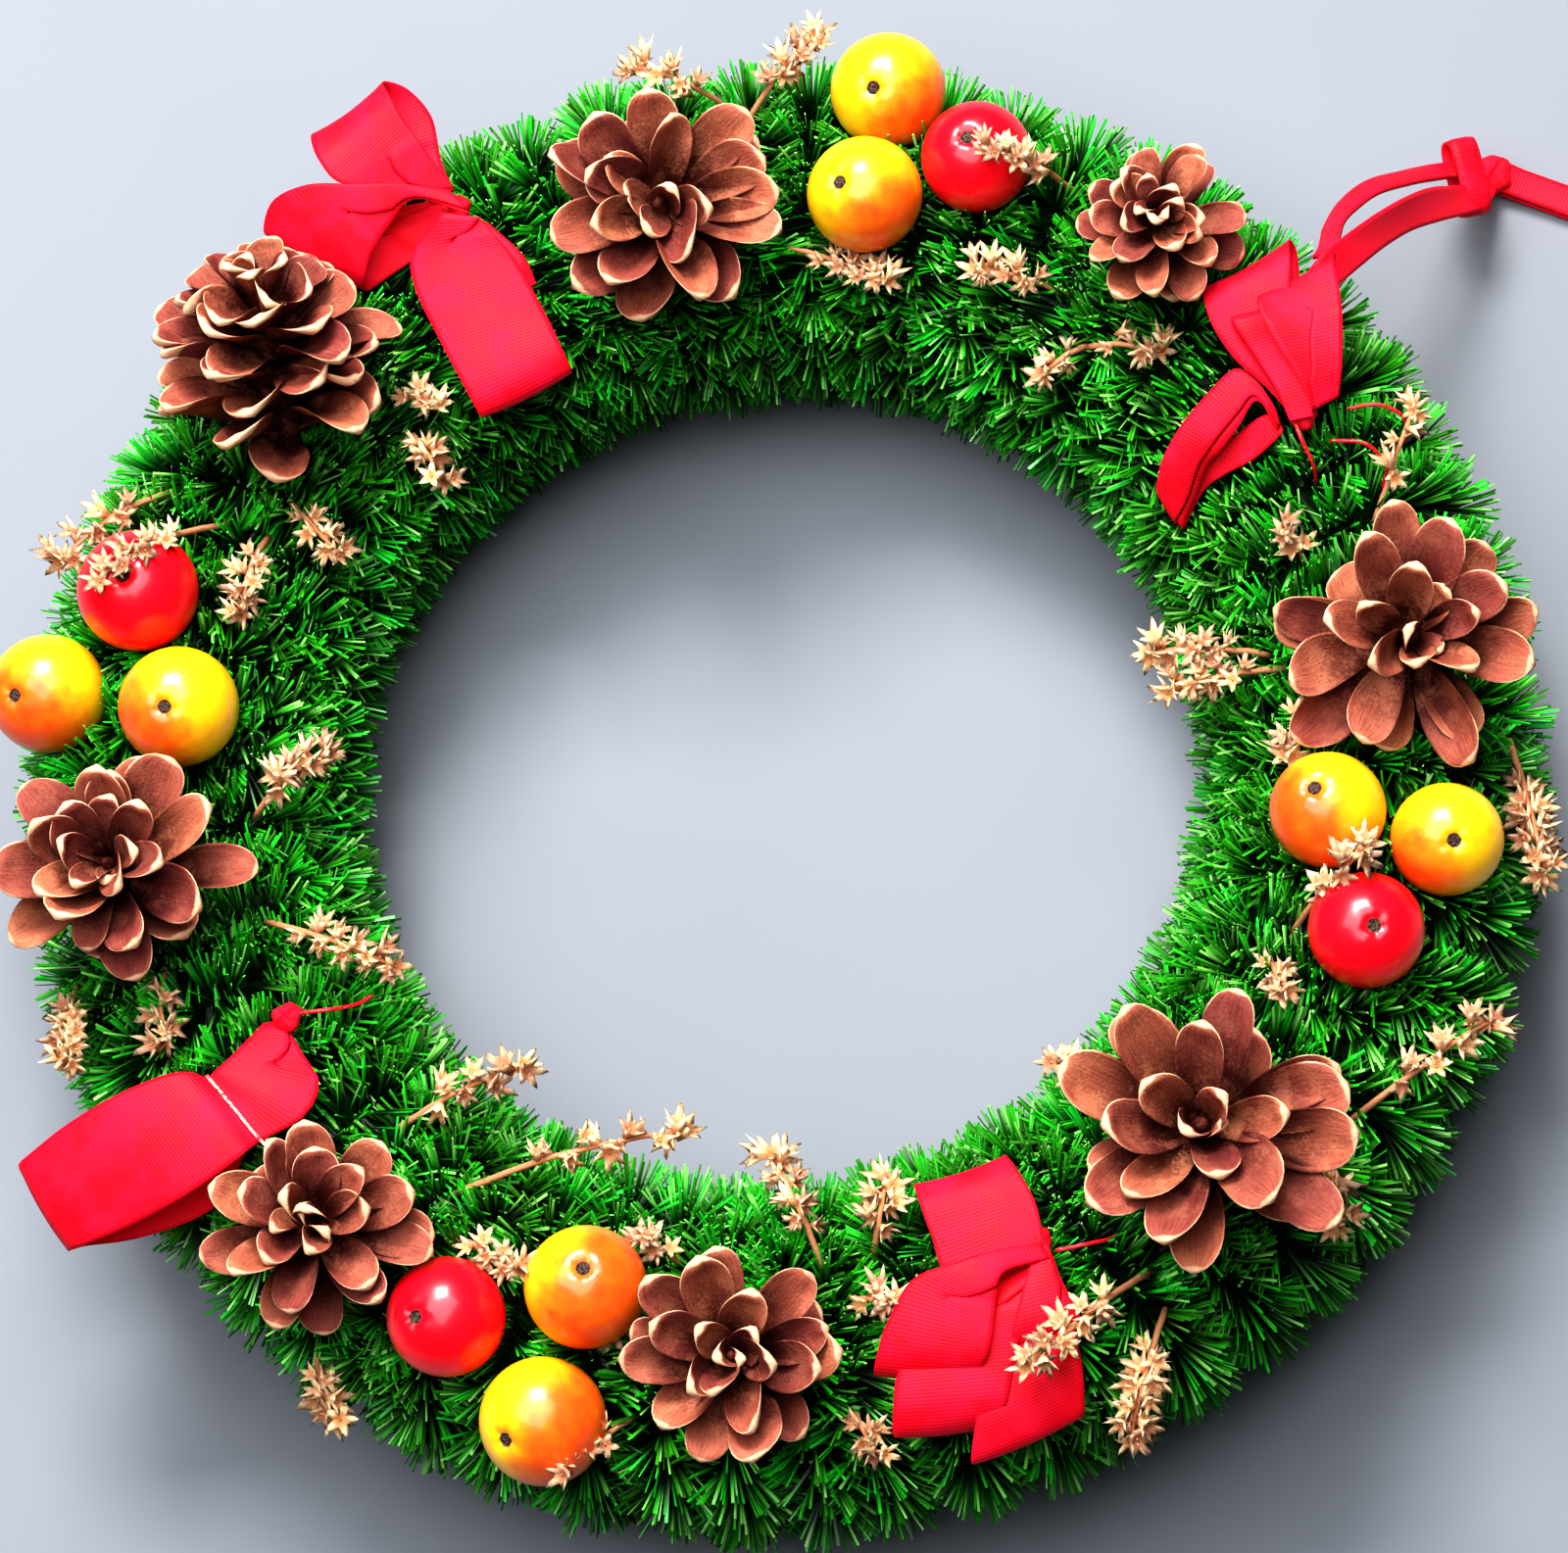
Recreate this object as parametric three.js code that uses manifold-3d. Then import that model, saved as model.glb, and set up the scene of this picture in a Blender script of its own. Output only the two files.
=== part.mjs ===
// Christmas wreath: a straw ring wound with a tinsel garland, with pine cones, lacquered fruit,
// dried flower sprigs, ribbon bows and a ribbon loop to hang it by.
// Millimetres. The wreath lies on its back: +Z points away from the table, +Y towards the hanging loop.
// A place on the wreath is given by its clock angle, in degrees clockwise from the hanging loop as seen
// from the front, its distance from the ring's centre, and its height above the table.

import * as THREE from 'three';
import { mergeVertices } from 'three/addons/utils/BufferGeometryUtils.js';
import Module from 'manifold-3d';

const wasm = await Module();
wasm.setup();

// Ring and garland
const RING_RADIUS = 121;
const RING_HEIGHT = 34;
const OUTER_RADIUS = 160;
const BASE_SECTION = 20;
const BASE_STATIONS = 24;
const BASE_SIDES = 8;
const SECTORS = 12;
const SECTOR_DEG = 360 / SECTORS;
const WRAPS_PER_SECTOR = 4;
const CREST_SECTION = 29;
const VALLEY_SECTION = 26;
const FLAT_HALF_WIDTH = 14;
const SECTOR_GAP_DEG = 0.1;
const SLEEVE_GAP = 0.4;

// Garland needles
const NEEDLES_PER_WRAP = 10;
const NEEDLE_ROOT_SECTION = 23;
const NEEDLE_TIP_SECTION = 38.6;
const NEEDLE_WIDTH = 2.6;
const NEEDLE_LEAN_DEG = 3.2;
const TABLE_CLEARANCE = 0.4;
// How a needle differs from its neighbours: turn round the wire as a share of a step, swing of its tip,
// and the least and most of its lean and length
const TURN_STRAY = 0.5;
const NEEDLE_SWING_DEG = 22;
const LEAN_SHARES = [0.5, 1.3];
const LENGTH_SHARES = [0.9, 1];
// A needle's root leans less than its tip, keeps off the ends of its length and stays above the table
const ROOT_LEAN_SHARE = 0.3;
const ROOT_END_MARGIN_DEG = 0.8;
const ROOT_LOWEST = 2.5;
const NEEDLE_LENGTHS_TRIED = [1, 0.82, 0.66];
// The outermost needle of every third length sets the wreath's width
const WIDEST_EVERY = 3;

// Trims
const SEAT_GAP = 0.35;
const SEAT_RISE = 6;
const RIBBON_WIDTH = 22;
const RIBBON_THICKNESS = 0.9;
const HANGER_WIDTH = 6.5;
const HANGER_THICKNESS = 1.6;
const SPRIG_ROOT_SECTION = 22;

// The corners of a three-sided stem or needle, the seeds of its small differences, and the distance
// within which two points of a body are one
const TRIANGLE_DEG = [90, 210, 330];
const GARLAND_SEED = 40;
const SPRIG_SEED = 500;
const WELD_DISTANCE = 1e-4;

const rad = THREE.MathUtils.degToRad;
const { lerp } = THREE.MathUtils;

// A repeatable stream of numbers between 0 and 1
function stream(seed) {
  let state = seed;
  return () => {
    state = (state + 0x6d2b79f5) | 0;
    let t = Math.imul(state ^ (state >>> 15), 1 | state);
    t = (t + Math.imul(t ^ (t >>> 7), 61 | t)) ^ t;
    return ((t ^ (t >>> 14)) >>> 0) / 4294967296;
  };
}

// A number between the least and the most of a range
function within([least, most], random) {
  return lerp(least, most, random());
}

// A point by clock angle, distance from the centre and height
function at(clock, distance, height) {
  return new THREE.Vector3(distance * Math.sin(rad(clock)), distance * Math.cos(rad(clock)), height);
}

// A direction by its tilt from straight up and the clock angle that it leans to
function leaning(tilt, clock) {
  return at(clock, Math.sin(rad(tilt)), Math.cos(rad(tilt)));
}

// A point of the garland's round section: angle 0 points outwards, 90 up
function onSection(clock, angle, sectionRadius) {
  const out = sectionRadius * Math.cos(rad(angle));
  const up = sectionRadius * Math.sin(rad(angle));
  return at(clock, RING_RADIUS + out, RING_HEIGHT + up);
}

// A closed body through a row of rings with equal numbers of points, ends filled by fans.
// A closed row has no ends: its last ring meets the first again.
function loft(rings, closedRow = false) {
  const count = rings[0].length;
  const positions = rings.flat().flatMap((p) => [p.x, p.y, p.z]);
  const faces = [];
  const spans = closedRow ? rings.length : rings.length - 1;
  for (let i = 0; i < spans; i += 1) {
    for (let j = 0; j < count; j += 1) {
      const a = i * count + j;
      const b = i * count + ((j + 1) % count);
      const c = ((i + 1) % rings.length) * count + ((j + 1) % count);
      const d = ((i + 1) % rings.length) * count + j;
      faces.push([a, b, c], [a, c, d]);
    }
  }
  if (!closedRow) {
    const last = (rings.length - 1) * count;
    for (let j = 1; j < count - 1; j += 1) {
      faces.push([0, j + 1, j], [last, last + j, last + j + 1]);
    }
  }
  return facedOut(positions, faces);
}

// A geometry of the given faces, turned to point outwards
function facedOut(positions, faces) {
  const corner = (i) => new THREE.Vector3().fromArray(positions, 3 * i);
  let volume = 0;
  for (const [a, b, c] of faces) {
    volume += corner(a).dot(corner(b).cross(corner(c)));
  }
  const ordered = volume > 0 ? faces : faces.map(([a, b, c]) => [a, c, b]);
  const geometry = new THREE.BufferGeometry();
  geometry.setAttribute('position', new THREE.Float32BufferAttribute(positions, 3));
  geometry.setIndex(ordered.flat());
  return geometry;
}

// Between three.js geometry and solids that can be joined and cut
function solidOf(source) {
  const bare = source.clone();
  bare.deleteAttribute('normal');
  bare.deleteAttribute('uv');
  const merged = mergeVertices(bare, WELD_DISTANCE);
  const vertProperties = new Float32Array(merged.attributes.position.array);
  const triVerts = new Uint32Array(merged.index.array);
  return new wasm.Manifold(new wasm.Mesh({ numProp: 3, vertProperties, triVerts }));
}

function geometryOf(solid) {
  const { vertProperties, triVerts, numProp } = solid.getMesh();
  const geometry = new THREE.BufferGeometry();
  const positions = new Float32Array((vertProperties.length / numProp) * 3);
  for (let i = 0; i < positions.length / 3; i += 1) {
    positions.set(vertProperties.subarray(i * numProp, i * numProp + 3), 3 * i);
  }
  geometry.setAttribute('position', new THREE.BufferAttribute(positions, 3));
  geometry.setIndex(new THREE.BufferAttribute(new Uint32Array(triVerts), 1));
  return geometry;
}

function joined(solids) {
  return solids.reduce((whole, next) => whole.add(next));
}

// The largest single body of a solid, without loose scraps
function wholeBody(solid) {
  return solid.decompose().reduce((best, next) => (next.volume() > best.volume() ? next : best));
}

// The bottom bow reaches past the needles, so the ring's centre is a little off the middle of the whole
const RING_OFFSET_Y = 4.4;
const wreath = new THREE.Group();

const materials = {
  straw: new THREE.MeshStandardMaterial({ color: 0xc7a565, roughness: 0.9, metalness: 0 }),
  garland: new THREE.MeshStandardMaterial({ color: 0x1d7a2c, roughness: 0.35, metalness: 0 }),
  cone: new THREE.MeshStandardMaterial({ color: 0x8a5238, roughness: 0.75, metalness: 0 }),
  redFruit: new THREE.MeshStandardMaterial({ color: 0xd4161e, roughness: 0.2, metalness: 0 }),
  yellowFruit: new THREE.MeshStandardMaterial({ color: 0xf2b022, roughness: 0.2, metalness: 0 }),
  ribbon: new THREE.MeshStandardMaterial({ color: 0xd9142c, roughness: 0.6, metalness: 0 }),
  sprig: new THREE.MeshStandardMaterial({ color: 0xc9965f, roughness: 0.8, metalness: 0 }),
};

// Solids that the garland has to make room for, and those that it only has to miss
const seats = [];
const trims = [];

function addPiece(name, geometry, material) {
  const mesh = new THREE.Mesh(geometry, material);
  mesh.name = name;
  wreath.add(mesh);
  return mesh;
}

function placed(geometry, mesh) {
  mesh.updateMatrixWorld(true);
  return solidOf(geometry.clone().applyMatrix4(mesh.matrixWorld));
}

// Stand a mesh modelled along its own +Z at a point, with that axis turned to a direction
function stand(mesh, point, direction) {
  mesh.position.copy(point);
  mesh.quaternion.setFromUnitVectors(new THREE.Vector3(0, 0, 1), direction);
}

// A lathe turned so that its axis is +Z; the profile runs from the bottom pole to the top pole
function turned(profile, sides) {
  const points = profile.map(([r, h]) => new THREE.Vector2(r, h));
  return new THREE.LatheGeometry(points, sides).rotateX(Math.PI / 2);
}

// Room for an upright post with a number of sides, from a depth below its own origin up to the surface
function postSeat(radius, sides, depth) {
  const wide = radius + SEAT_GAP / Math.cos(Math.PI / sides);
  const low = -depth - SEAT_GAP;
  return turned([[0, low], [wide, low], [wide, SEAT_RISE], [0, SEAT_RISE]], sides);
}

// Room for a round piece of the given shape: the same shape, larger by the gap
function roundSeat(geometry, flatRadius) {
  const share = 1 + SEAT_GAP / flatRadius;
  return geometry.clone().scale(share, share, share);
}

// Pine cones: an open cone is a slim spindle with spoon-shaped scales in a spiral, each thickest under
// its tip. The lowest scales lie flat and the top ones stand up. The opening is in degrees from the axis;
// reach and half width are shares of the cone's radius, and the height of the foot one of its length.
const GOLDEN_ANGLE = 137.5;
const LOWEST_SCALE = { opening: 88, reach: 1, half: 0.19, foot: 0.1 };
const TOP_SCALE = { opening: 24, reach: 0.68, half: 0.15, foot: 0.72 };
const SCALE_ROOT = 0.06;
const SCALE_SHOULDER = 0.84;
const SCALE_KEEL = 0.86;
const SCALE_THICKNESS = 1.9;

// The spindle: its neck and crown as shares of the radius, its heights as shares of the length
const CONE_NECK = 0.2;
const NECK_HEIGHT = 0.45;
const CROWN_RADIUS = 0.1;
const CROWN_HEIGHT = 0.8;
const SPINDLE_HEIGHT = 0.84;
const STALK_DEPTH = 8;
const SPINDLE_SIDES = 6;

// A scale at a share of the way up its cone
function scalePlate(radius, length, rise) {
  const between = (key) => lerp(LOWEST_SCALE[key], TOP_SCALE[key], rise);
  const angle = rad(between('opening'));
  const reach = radius * between('reach');
  const half = radius * between('half');
  const foot = length * between('foot');
  const corners = [[SCALE_ROOT, 0, 0], [SCALE_SHOULDER, half, 0], [1, 0, 0], [SCALE_SHOULDER, -half, 0],
    [SCALE_KEEL, 0, -SCALE_THICKNESS]];
  const positions = corners.flatMap(([share, side, thickness]) => [
    share * reach * Math.sin(angle) - thickness * Math.cos(angle),
    side,
    foot + share * reach * Math.cos(angle) + thickness * Math.sin(angle),
  ]);
  return facedOut(positions, [[0, 1, 2], [0, 2, 3], [1, 0, 4], [2, 1, 4], [3, 2, 4], [0, 3, 4]]);
}

function coneSolid(radius, length, scales) {
  const neck = CONE_NECK * radius;
  const spindle = turned([[0, -STALK_DEPTH], [neck, -STALK_DEPTH], [neck, NECK_HEIGHT * length],
    [CROWN_RADIUS * radius, CROWN_HEIGHT * length], [0, SPINDLE_HEIGHT * length]], SPINDLE_SIDES);
  const parts = [solidOf(spindle)];
  for (let i = 0; i < scales; i += 1) {
    const plate = scalePlate(radius, length, i / (scales - 1));
    parts.push(solidOf(plate.rotateZ(rad(GOLDEN_ANGLE * i))));
  }
  return joined(parts);
}

// clock angle, distance, height of the foot, radius, length, tilt, clock angle of the lean, scales
const CONES = [
  [302, 114, 65, 25.5, 28, 14, 123, 22],
  [351, 130, 65, 17.5, 26, 12, 130, 19],
  [35.5, 127, 65, 26.5, 29, 14, 129, 22],
  [87.5, 120, 65, 26.5, 29, 4, 136, 20],
  [134, 126, 65, 22, 26, 10, 95, 20],
  [172.5, 130.5, 64.5, 22, 27, 12, 77, 22],
  [209.5, 126, 65, 25, 29, 12, 78, 22],
  [256.5, 118, 69, 24, 29, 28, 322, 26],
];

CONES.forEach(([clock, distance, foot, radius, length, tilt, lean, scales], i) => {
  const solid = coneSolid(radius, length, scales);
  const mesh = addPiece(`pine_cone_${i + 1}`, geometryOf(solid), materials.cone);
  stand(mesh, at(clock, distance, foot), leaning(tilt, lean));
  trims.push(placed(mesh.geometry, mesh));
  seats.push(placed(postSeat(CONE_NECK * radius, SPINDLE_SIDES, STALK_DEPTH), mesh));
});

// Fruit: round, with a small pit where the dried calyx sits. Its flat sides lie at nine tenths of the radius.
const PIT_RADIUS = 1.5;
const PIT_DEPTH = 0.5;
const FRUIT_ROWS = 5;
const FRUIT_SIDES = 10;
const FRUIT_FLAT_SHARE = 0.9;

function fruitProfile(radius) {
  const profile = [[0, -radius]];
  for (let i = 1; i < FRUIT_ROWS; i += 1) {
    const angle = (Math.PI * i) / FRUIT_ROWS;
    profile.push([radius * Math.sin(angle), -radius * Math.cos(angle)]);
  }
  const rim = Math.sqrt(radius * radius - PIT_RADIUS * PIT_RADIUS);
  profile.push([PIT_RADIUS, rim], [0, rim - PIT_DEPTH]);
  return profile;
}

// name, clock angle, distance, height of the centre, radius, tilt and clock angle of the calyx, colour
const FRUIT = [
  ['fruit_top_far', 322.9, 140.8, 64.4, 12.0, 25, 163, 'yellowFruit'],
  ['fruit_top_near', 323.1, 114.4, 70.5, 11.9, 25, 202, 'yellowFruit'],
  ['fruit_top_red', 332.6, 127.9, 70, 11.4, 8, 205, 'redFruit'],
  ['fruit_right_inner', 53.0, 112.8, 69.6, 11.3, 17, 251, 'yellowFruit'],
  ['fruit_right_outer', 53.6, 136.2, 66.8, 11.0, 18, 117, 'yellowFruit'],
  ['fruit_right_red', 63.4, 125.8, 69.9, 11.2, 12, 99, 'redFruit'],
  ['fruit_bottom_red', 159.2, 131.4, 69, 11.5, 26, 201, 'redFruit'],
  ['fruit_bottom_inner', 148.4, 116.8, 70.8, 11.8, 10, 344, 'yellowFruit'],
  ['fruit_bottom_outer', 149.0, 142.8, 65, 12.3, 42, 183, 'yellowFruit'],
  ['fruit_left_red', 236.2, 129.6, 71.4, 12.3, 4, 161, 'redFruit'],
  ['fruit_left_outer', 227.4, 146.6, 61.6, 12.1, 29, 183, 'yellowFruit'],
  ['fruit_left_inner', 225.4, 116.6, 71.1, 12.1, 18, 137, 'yellowFruit'],
];

for (const [name, clock, distance, height, radius, tilt, lean, colour] of FRUIT) {
  const mesh = addPiece(name, turned(fruitProfile(radius), FRUIT_SIDES), materials[colour]);
  stand(mesh, at(clock, distance, height), leaning(tilt, lean));
  mesh.geometry = geometryOf(solidOf(mesh.geometry));
  trims.push(placed(mesh.geometry, mesh));
  seats.push(placed(roundSeat(mesh.geometry, FRUIT_FLAT_SHARE * radius), mesh));
}

// Ribbon: a flat band carried along a path, each station a point, a side direction and a width
function band(stations, thickness) {
  const rings = stations.map(({ point, side, width }, i) => {
    const before = stations[Math.max(i - 1, 0)].point;
    const after = stations[Math.min(i + 1, stations.length - 1)].point;
    const along = after.clone().sub(before).normalize();
    const across = side.clone().addScaledVector(along, -side.dot(along)).normalize();
    const face = along.cross(across).multiplyScalar(thickness / 2);
    const half = across.clone().multiplyScalar(width / 2);
    return [[1, 1], [-1, 1], [-1, -1], [1, -1]].map(([s, t]) => point.clone()
      .addScaledVector(half, s).addScaledVector(face, t));
  });
  return loft(rings);
}

// The stations of a bow's loop: how far along it, how high in shares of its puff, and its share of the
// ribbon's width
const LOOP_STATIONS = [[0.05, 0.3, 0.32], [0.36, 0.95, 0.85], [0.9, 0.85, 1], [1, 0.1, 1],
  [0.92, -0.75, 1], [0.36, -0.8, 0.85], [0.05, -0.3, 0.32]];

// One loop of a bow: out from the knot, round a soft fold and back underneath.
// toward is the clock angle that it points to; it ends endHeight above the table; roll tips one edge up;
// puff is half its thickness; bend carries its middle sideways, along a parabola.
// margin makes it thicker and wider all round.
function bowLoop(knot, { toward, reach, endHeight, roll, puff, bend = 0 }, margin = 0) {
  const out = at(toward, 1, 0);
  const sideways = at(toward + 90, 1, 0);
  const side = at(toward + 90, Math.cos(rad(roll)), Math.sin(rad(roll)));
  const stations = LOOP_STATIONS.map(([along, lift, spread]) => ({
    point: knot.clone().addScaledVector(out, along * reach)
      .addScaledVector(sideways, 4 * bend * along * (1 - along))
      .setZ(lerp(knot.z, endHeight, along) + lift * puff),
    side,
    width: RIBBON_WIDTH * spread + 2 * margin,
  }));
  return solidOf(band(stations, RIBBON_THICKNESS + 2 * margin));
}

// Each bow: the knot's clock angle, distance and height, and its loops
const BOWS = {
  bow_left: {
    knot: [283.2, 129.6, 70],
    loops: [
      { toward: 264, reach: 29, endHeight: 78, roll: 8, puff: 4.5 },
      { toward: 222, reach: 36.5, endHeight: 73, roll: -8, puff: 4 },
      { toward: 113, reach: 43, endHeight: 67, roll: 4, puff: 3.5 },
    ],
  },
  bow_hanger: {
    knot: [10.6, 127, 70],
    loops: [
      { toward: 292, reach: 28, endHeight: 73, roll: 10, puff: 4 },
      { toward: 311, reach: 25, endHeight: 76, roll: -6, puff: 4 },
      { toward: 181, reach: 35, endHeight: 65, roll: 10, puff: 3.5 },
    ],
  },
  bow_bottom: {
    knot: [190.3, 108.9, 70],
    loops: [
      { toward: 186.5, reach: 60.3, endHeight: 66, roll: 0, puff: 5, bend: -9 },
    ],
  },
  bow_right: {
    knot: [105.3, 117.5, 70],
    loops: [
      { toward: 267, reach: 20, endHeight: 69, roll: 10, puff: 3 },
      { toward: 187, reach: 38, endHeight: 69, roll: 6, puff: 4 },
      { toward: 160, reach: 40, endHeight: 67, roll: 0, puff: 4 },
      { toward: 132, reach: 37, endHeight: 67, roll: -6, puff: 4 },
    ],
  },
};
// A knot has twenty flat sides, at 0.79 of the radius of its corners
const KNOT_RADIUS = 5.4;
const KNOT_FLAT_RADIUS = 0.79 * KNOT_RADIUS;
const TIE_RADIUS = 1.8;
const TIE_SIDES = 6;
const TIE_END_HEIGHT = 57.5;

// A bow is held by a short tie from its knot down into the garland
for (const [name, { knot, loops }] of Object.entries(BOWS)) {
  const centre = at(...knot);
  const wrap = new THREE.IcosahedronGeometry(KNOT_RADIUS, 0);
  const depth = centre.z - TIE_END_HEIGHT;
  const tie = turned([[0, -depth], [TIE_RADIUS, -depth], [TIE_RADIUS, 0], [0, 0]], TIE_SIDES);
  const solid = joined([wrap, tie].map((g) => solidOf(g.clone().translate(...centre.toArray())))
    .concat(loops.map((loop) => bowLoop(centre, loop))));
  addPiece(name, geometryOf(solid), materials.ribbon);
  trims.push(solid);
  for (const seat of [roundSeat(wrap, KNOT_FLAT_RADIUS), postSeat(TIE_RADIUS, TIE_SIDES, depth)]) {
    seats.push(solidOf(seat.translate(...centre.toArray())));
  }
}

// Hanging loop: two strands of narrow ribbon leave the top bow, run down to the table, are knotted
// together there, and lie doubled as the loop that goes over the hook.
const RIBBON_SIDES = 8;

function flatRibbon(points, sizeAcross, sizeUp) {
  const oval = new THREE.EllipseCurve(0, 0, sizeAcross / 2, sizeUp / 2);
  const section = new THREE.Shape(oval.getPoints(RIBBON_SIDES));
  const path = new THREE.CatmullRomCurve3(points.map((p) => new THREE.Vector3(...p)));
  const steps = points.length - 1;
  return solidOf(new THREE.ExtrudeGeometry(section, { steps, extrudePath: path, bevelEnabled: false }));
}

const LOWER_STRAND = [
  [7.4, 141, 74.6], [7, 147.5, 67], [6.4, 155, 58], [5.6, 168, 49], [4.8, 180, 36], [4.2, 190, 20],
  [3, 198, 8], [0.5, 204, 3.2], [-1.8, 209, 3.4],
];
const UPPER_STRAND = [
  [1.6, 140.5, 74.6], [0, 148.5, 65.5], [-2.2, 157.5, 56.5], [-4.6, 166, 53], [-5.6, 177, 44],
  [-5.2, 189, 29], [-5, 199, 13], [-4, 205, 5], [-1.8, 209, 3.4],
];
const HOOK_LOOP = [
  [-1.8, 209, 3.4], [4, 211.8, 2.4], [13.7, 216.2, 2.1], [24, 220.4, 2.1], [34, 224, 2.1],
  [44, 226.8, 2.1],
];
// The upper strand is folded narrower. The doubled loop stands on edge, a little over two ribbons thick.
const UPPER_STRAND_WIDTH = 0.8 * HANGER_WIDTH;
const DOUBLED_THICKNESS = 2.2 * HANGER_THICKNESS;
const HANGER_KNOT = [-1.8, 209, 3.6];
const HANGER_KNOT_RADIUS = 3.5;

const hangerKnot = new THREE.IcosahedronGeometry(HANGER_KNOT_RADIUS, 0).translate(...HANGER_KNOT);
const hanger = joined([
  flatRibbon(LOWER_STRAND, HANGER_WIDTH, HANGER_THICKNESS),
  flatRibbon(UPPER_STRAND, UPPER_STRAND_WIDTH, HANGER_THICKNESS),
  flatRibbon(HOOK_LOOP, DOUBLED_THICKNESS, HANGER_WIDTH),
  solidOf(hangerKnot),
]);
const { knot: hangerBow, loops: hangerBowLoops } = BOWS.bow_hanger;
const bowRoom = joined(hangerBowLoops.map((loop) => bowLoop(at(...hangerBow), loop, SEAT_GAP)));
const hangerClear = wholeBody(hanger.subtract(bowRoom));
addPiece('hanging_loop', geometryOf(hangerClear), materials.ribbon);
trims.push(hangerClear);

// Dried flower sprigs: a thin stem with small five-pointed florets, each a funnel on the stem. Between
// two points a floret is narrower and lower, and its middle is sunk a little.
const STEM_RADIUS = 0.9;
const STEM_TAPER = 0.75;
const STEM_SPANS = 3;
const PETALS = 5;
const FLORET_RADIUS = 3.6;
const VALLEY_RADIUS = 0.38 * FLORET_RADIUS;
const VALLEY_DROP = 1.6;
const HEART_DROP = 0.7;
const FLORET_ROOT_DEPTH = 0.3;
// Where florets stand along the stem, and how far each leans forward, aside and up from it
const FLORETS_FROM = 0.5;
const FLORETS_TO = 0.97;
const FLORET_FORWARD = [2, 3.4];
const FLORET_ASIDE = [3.2, 4.4];
const FLORET_RISE = [2.2, 3.4];

function floret(root, head) {
  const height = head.distanceTo(root);
  const corners = 2 * PETALS;
  const positions = [];
  for (let i = 0; i < corners; i += 1) {
    const angle = rad((360 / corners) * i);
    const [r, z] = i % 2 ? [VALLEY_RADIUS, height - VALLEY_DROP] : [FLORET_RADIUS, height];
    positions.push(r * Math.cos(angle), r * Math.sin(angle), z);
  }
  const foot = corners;
  const heart = corners + 1;
  positions.push(0, 0, -FLORET_ROOT_DEPTH, 0, 0, height - HEART_DROP);
  const faces = [];
  for (let tip = 0; tip < corners; tip += 2) {
    const before = (tip + corners - 1) % corners;
    const after = tip + 1;
    faces.push([tip, after, heart], [before, tip, heart], [after, tip, before], [after, before, foot]);
  }
  const axis = head.clone().sub(root).normalize();
  const turn = new THREE.Quaternion().setFromUnitVectors(new THREE.Vector3(0, 0, 1), axis);
  return solidOf(facedOut(positions, faces).applyQuaternion(turn).translate(...root.toArray()));
}

function stemSolid(points) {
  const rings = points.map((point, i) => {
    const before = points[Math.max(i - 1, 0)];
    const after = points[Math.min(i + 1, points.length - 1)];
    const along = after.clone().sub(before).normalize();
    const across = new THREE.Vector3(0, 0, 1).cross(along).normalize();
    const up = along.clone().cross(across);
    const r = STEM_RADIUS * lerp(1, STEM_TAPER, i / (points.length - 1));
    return TRIANGLE_DEG.map((a) => point.clone()
      .addScaledVector(across, r * Math.cos(rad(a))).addScaledVector(up, r * Math.sin(rad(a))));
  });
  return solidOf(loft(rings));
}

function sprigSolid(base, tip, arch, florets, random) {
  const curve = new THREE.QuadraticBezierCurve3(base, base.clone().lerp(tip, 0.5)
    .add(new THREE.Vector3(0, 0, arch)), tip);
  const parts = [stemSolid(curve.getPoints(STEM_SPANS))];
  for (let i = 0; i < florets; i += 1) {
    const share = lerp(FLORETS_FROM, FLORETS_TO, i / (florets - 1));
    const root = curve.getPoint(share);
    const along = curve.getTangent(share);
    const side = along.clone().cross(new THREE.Vector3(0, 0, 1)).normalize();
    const sway = i === florets - 1 ? 0 : (i % 2 ? 1 : -1) * within(FLORET_ASIDE, random);
    const head = root.clone().addScaledVector(along, within(FLORET_FORWARD, random))
      .addScaledVector(side, sway).add(new THREE.Vector3(0, 0, within(FLORET_RISE, random)));
    parts.push(floret(root, head));
  }
  return joined(parts);
}

// Foot and tip of each sprig (clock angle, distance, height), arch of the stem and number of florets
const SPRIGS = [
  [[309.5, 139, 56], [302, 146, 70], 6, 3],
  [[310, 134, 57], [315.6, 153, 66], 4, 3],
  [[314.8, 102, 57], [327.5, 94.5, 66], 2, 3],
  [[342, 135, 56], [337, 146, 67], 4, 3],
  [[345.6, 112, 60], [337, 105, 70], 3, 3],
  [[24, 129, 59], [17, 145, 69], 4, 3],
  [[34, 99, 56], [32.4, 82, 66], 4, 3],
  [[43.6, 148, 50], [54.3, 155, 58], 5, 4],
  [[66, 110, 60], [72, 116, 72], 3, 3],
  [[77, 139, 56], [66.5, 153, 66], 5, 4],
  [[98.6, 139, 56], [103.6, 154, 58], 6, 3],
  [[91, 97, 52], [92.4, 88, 58], 4, 3],
  [[124.6, 108, 59], [129.6, 86, 66], 5, 4],
  [[117.5, 106, 60], [114.4, 91, 62], 4, 3],
  [[164.5, 109, 59], [143, 83, 64], 9, 4],
  [[174.6, 107, 59], [167, 84, 64], 5, 3],
  [[201.4, 104, 57], [190.5, 88, 62], 6, 4],
  [[213.8, 100, 54], [221.6, 87, 60], 6, 3],
  [[203.4, 148, 50], [197.8, 152, 58], 4, 3],
  [[247.4, 104, 58], [240.2, 99, 68], 5, 3],
  [[243.4, 138, 55], [238.8, 148, 66], 4, 3],
  [[265.6, 97, 52], [264, 88, 58], 4, 3],
];

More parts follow.
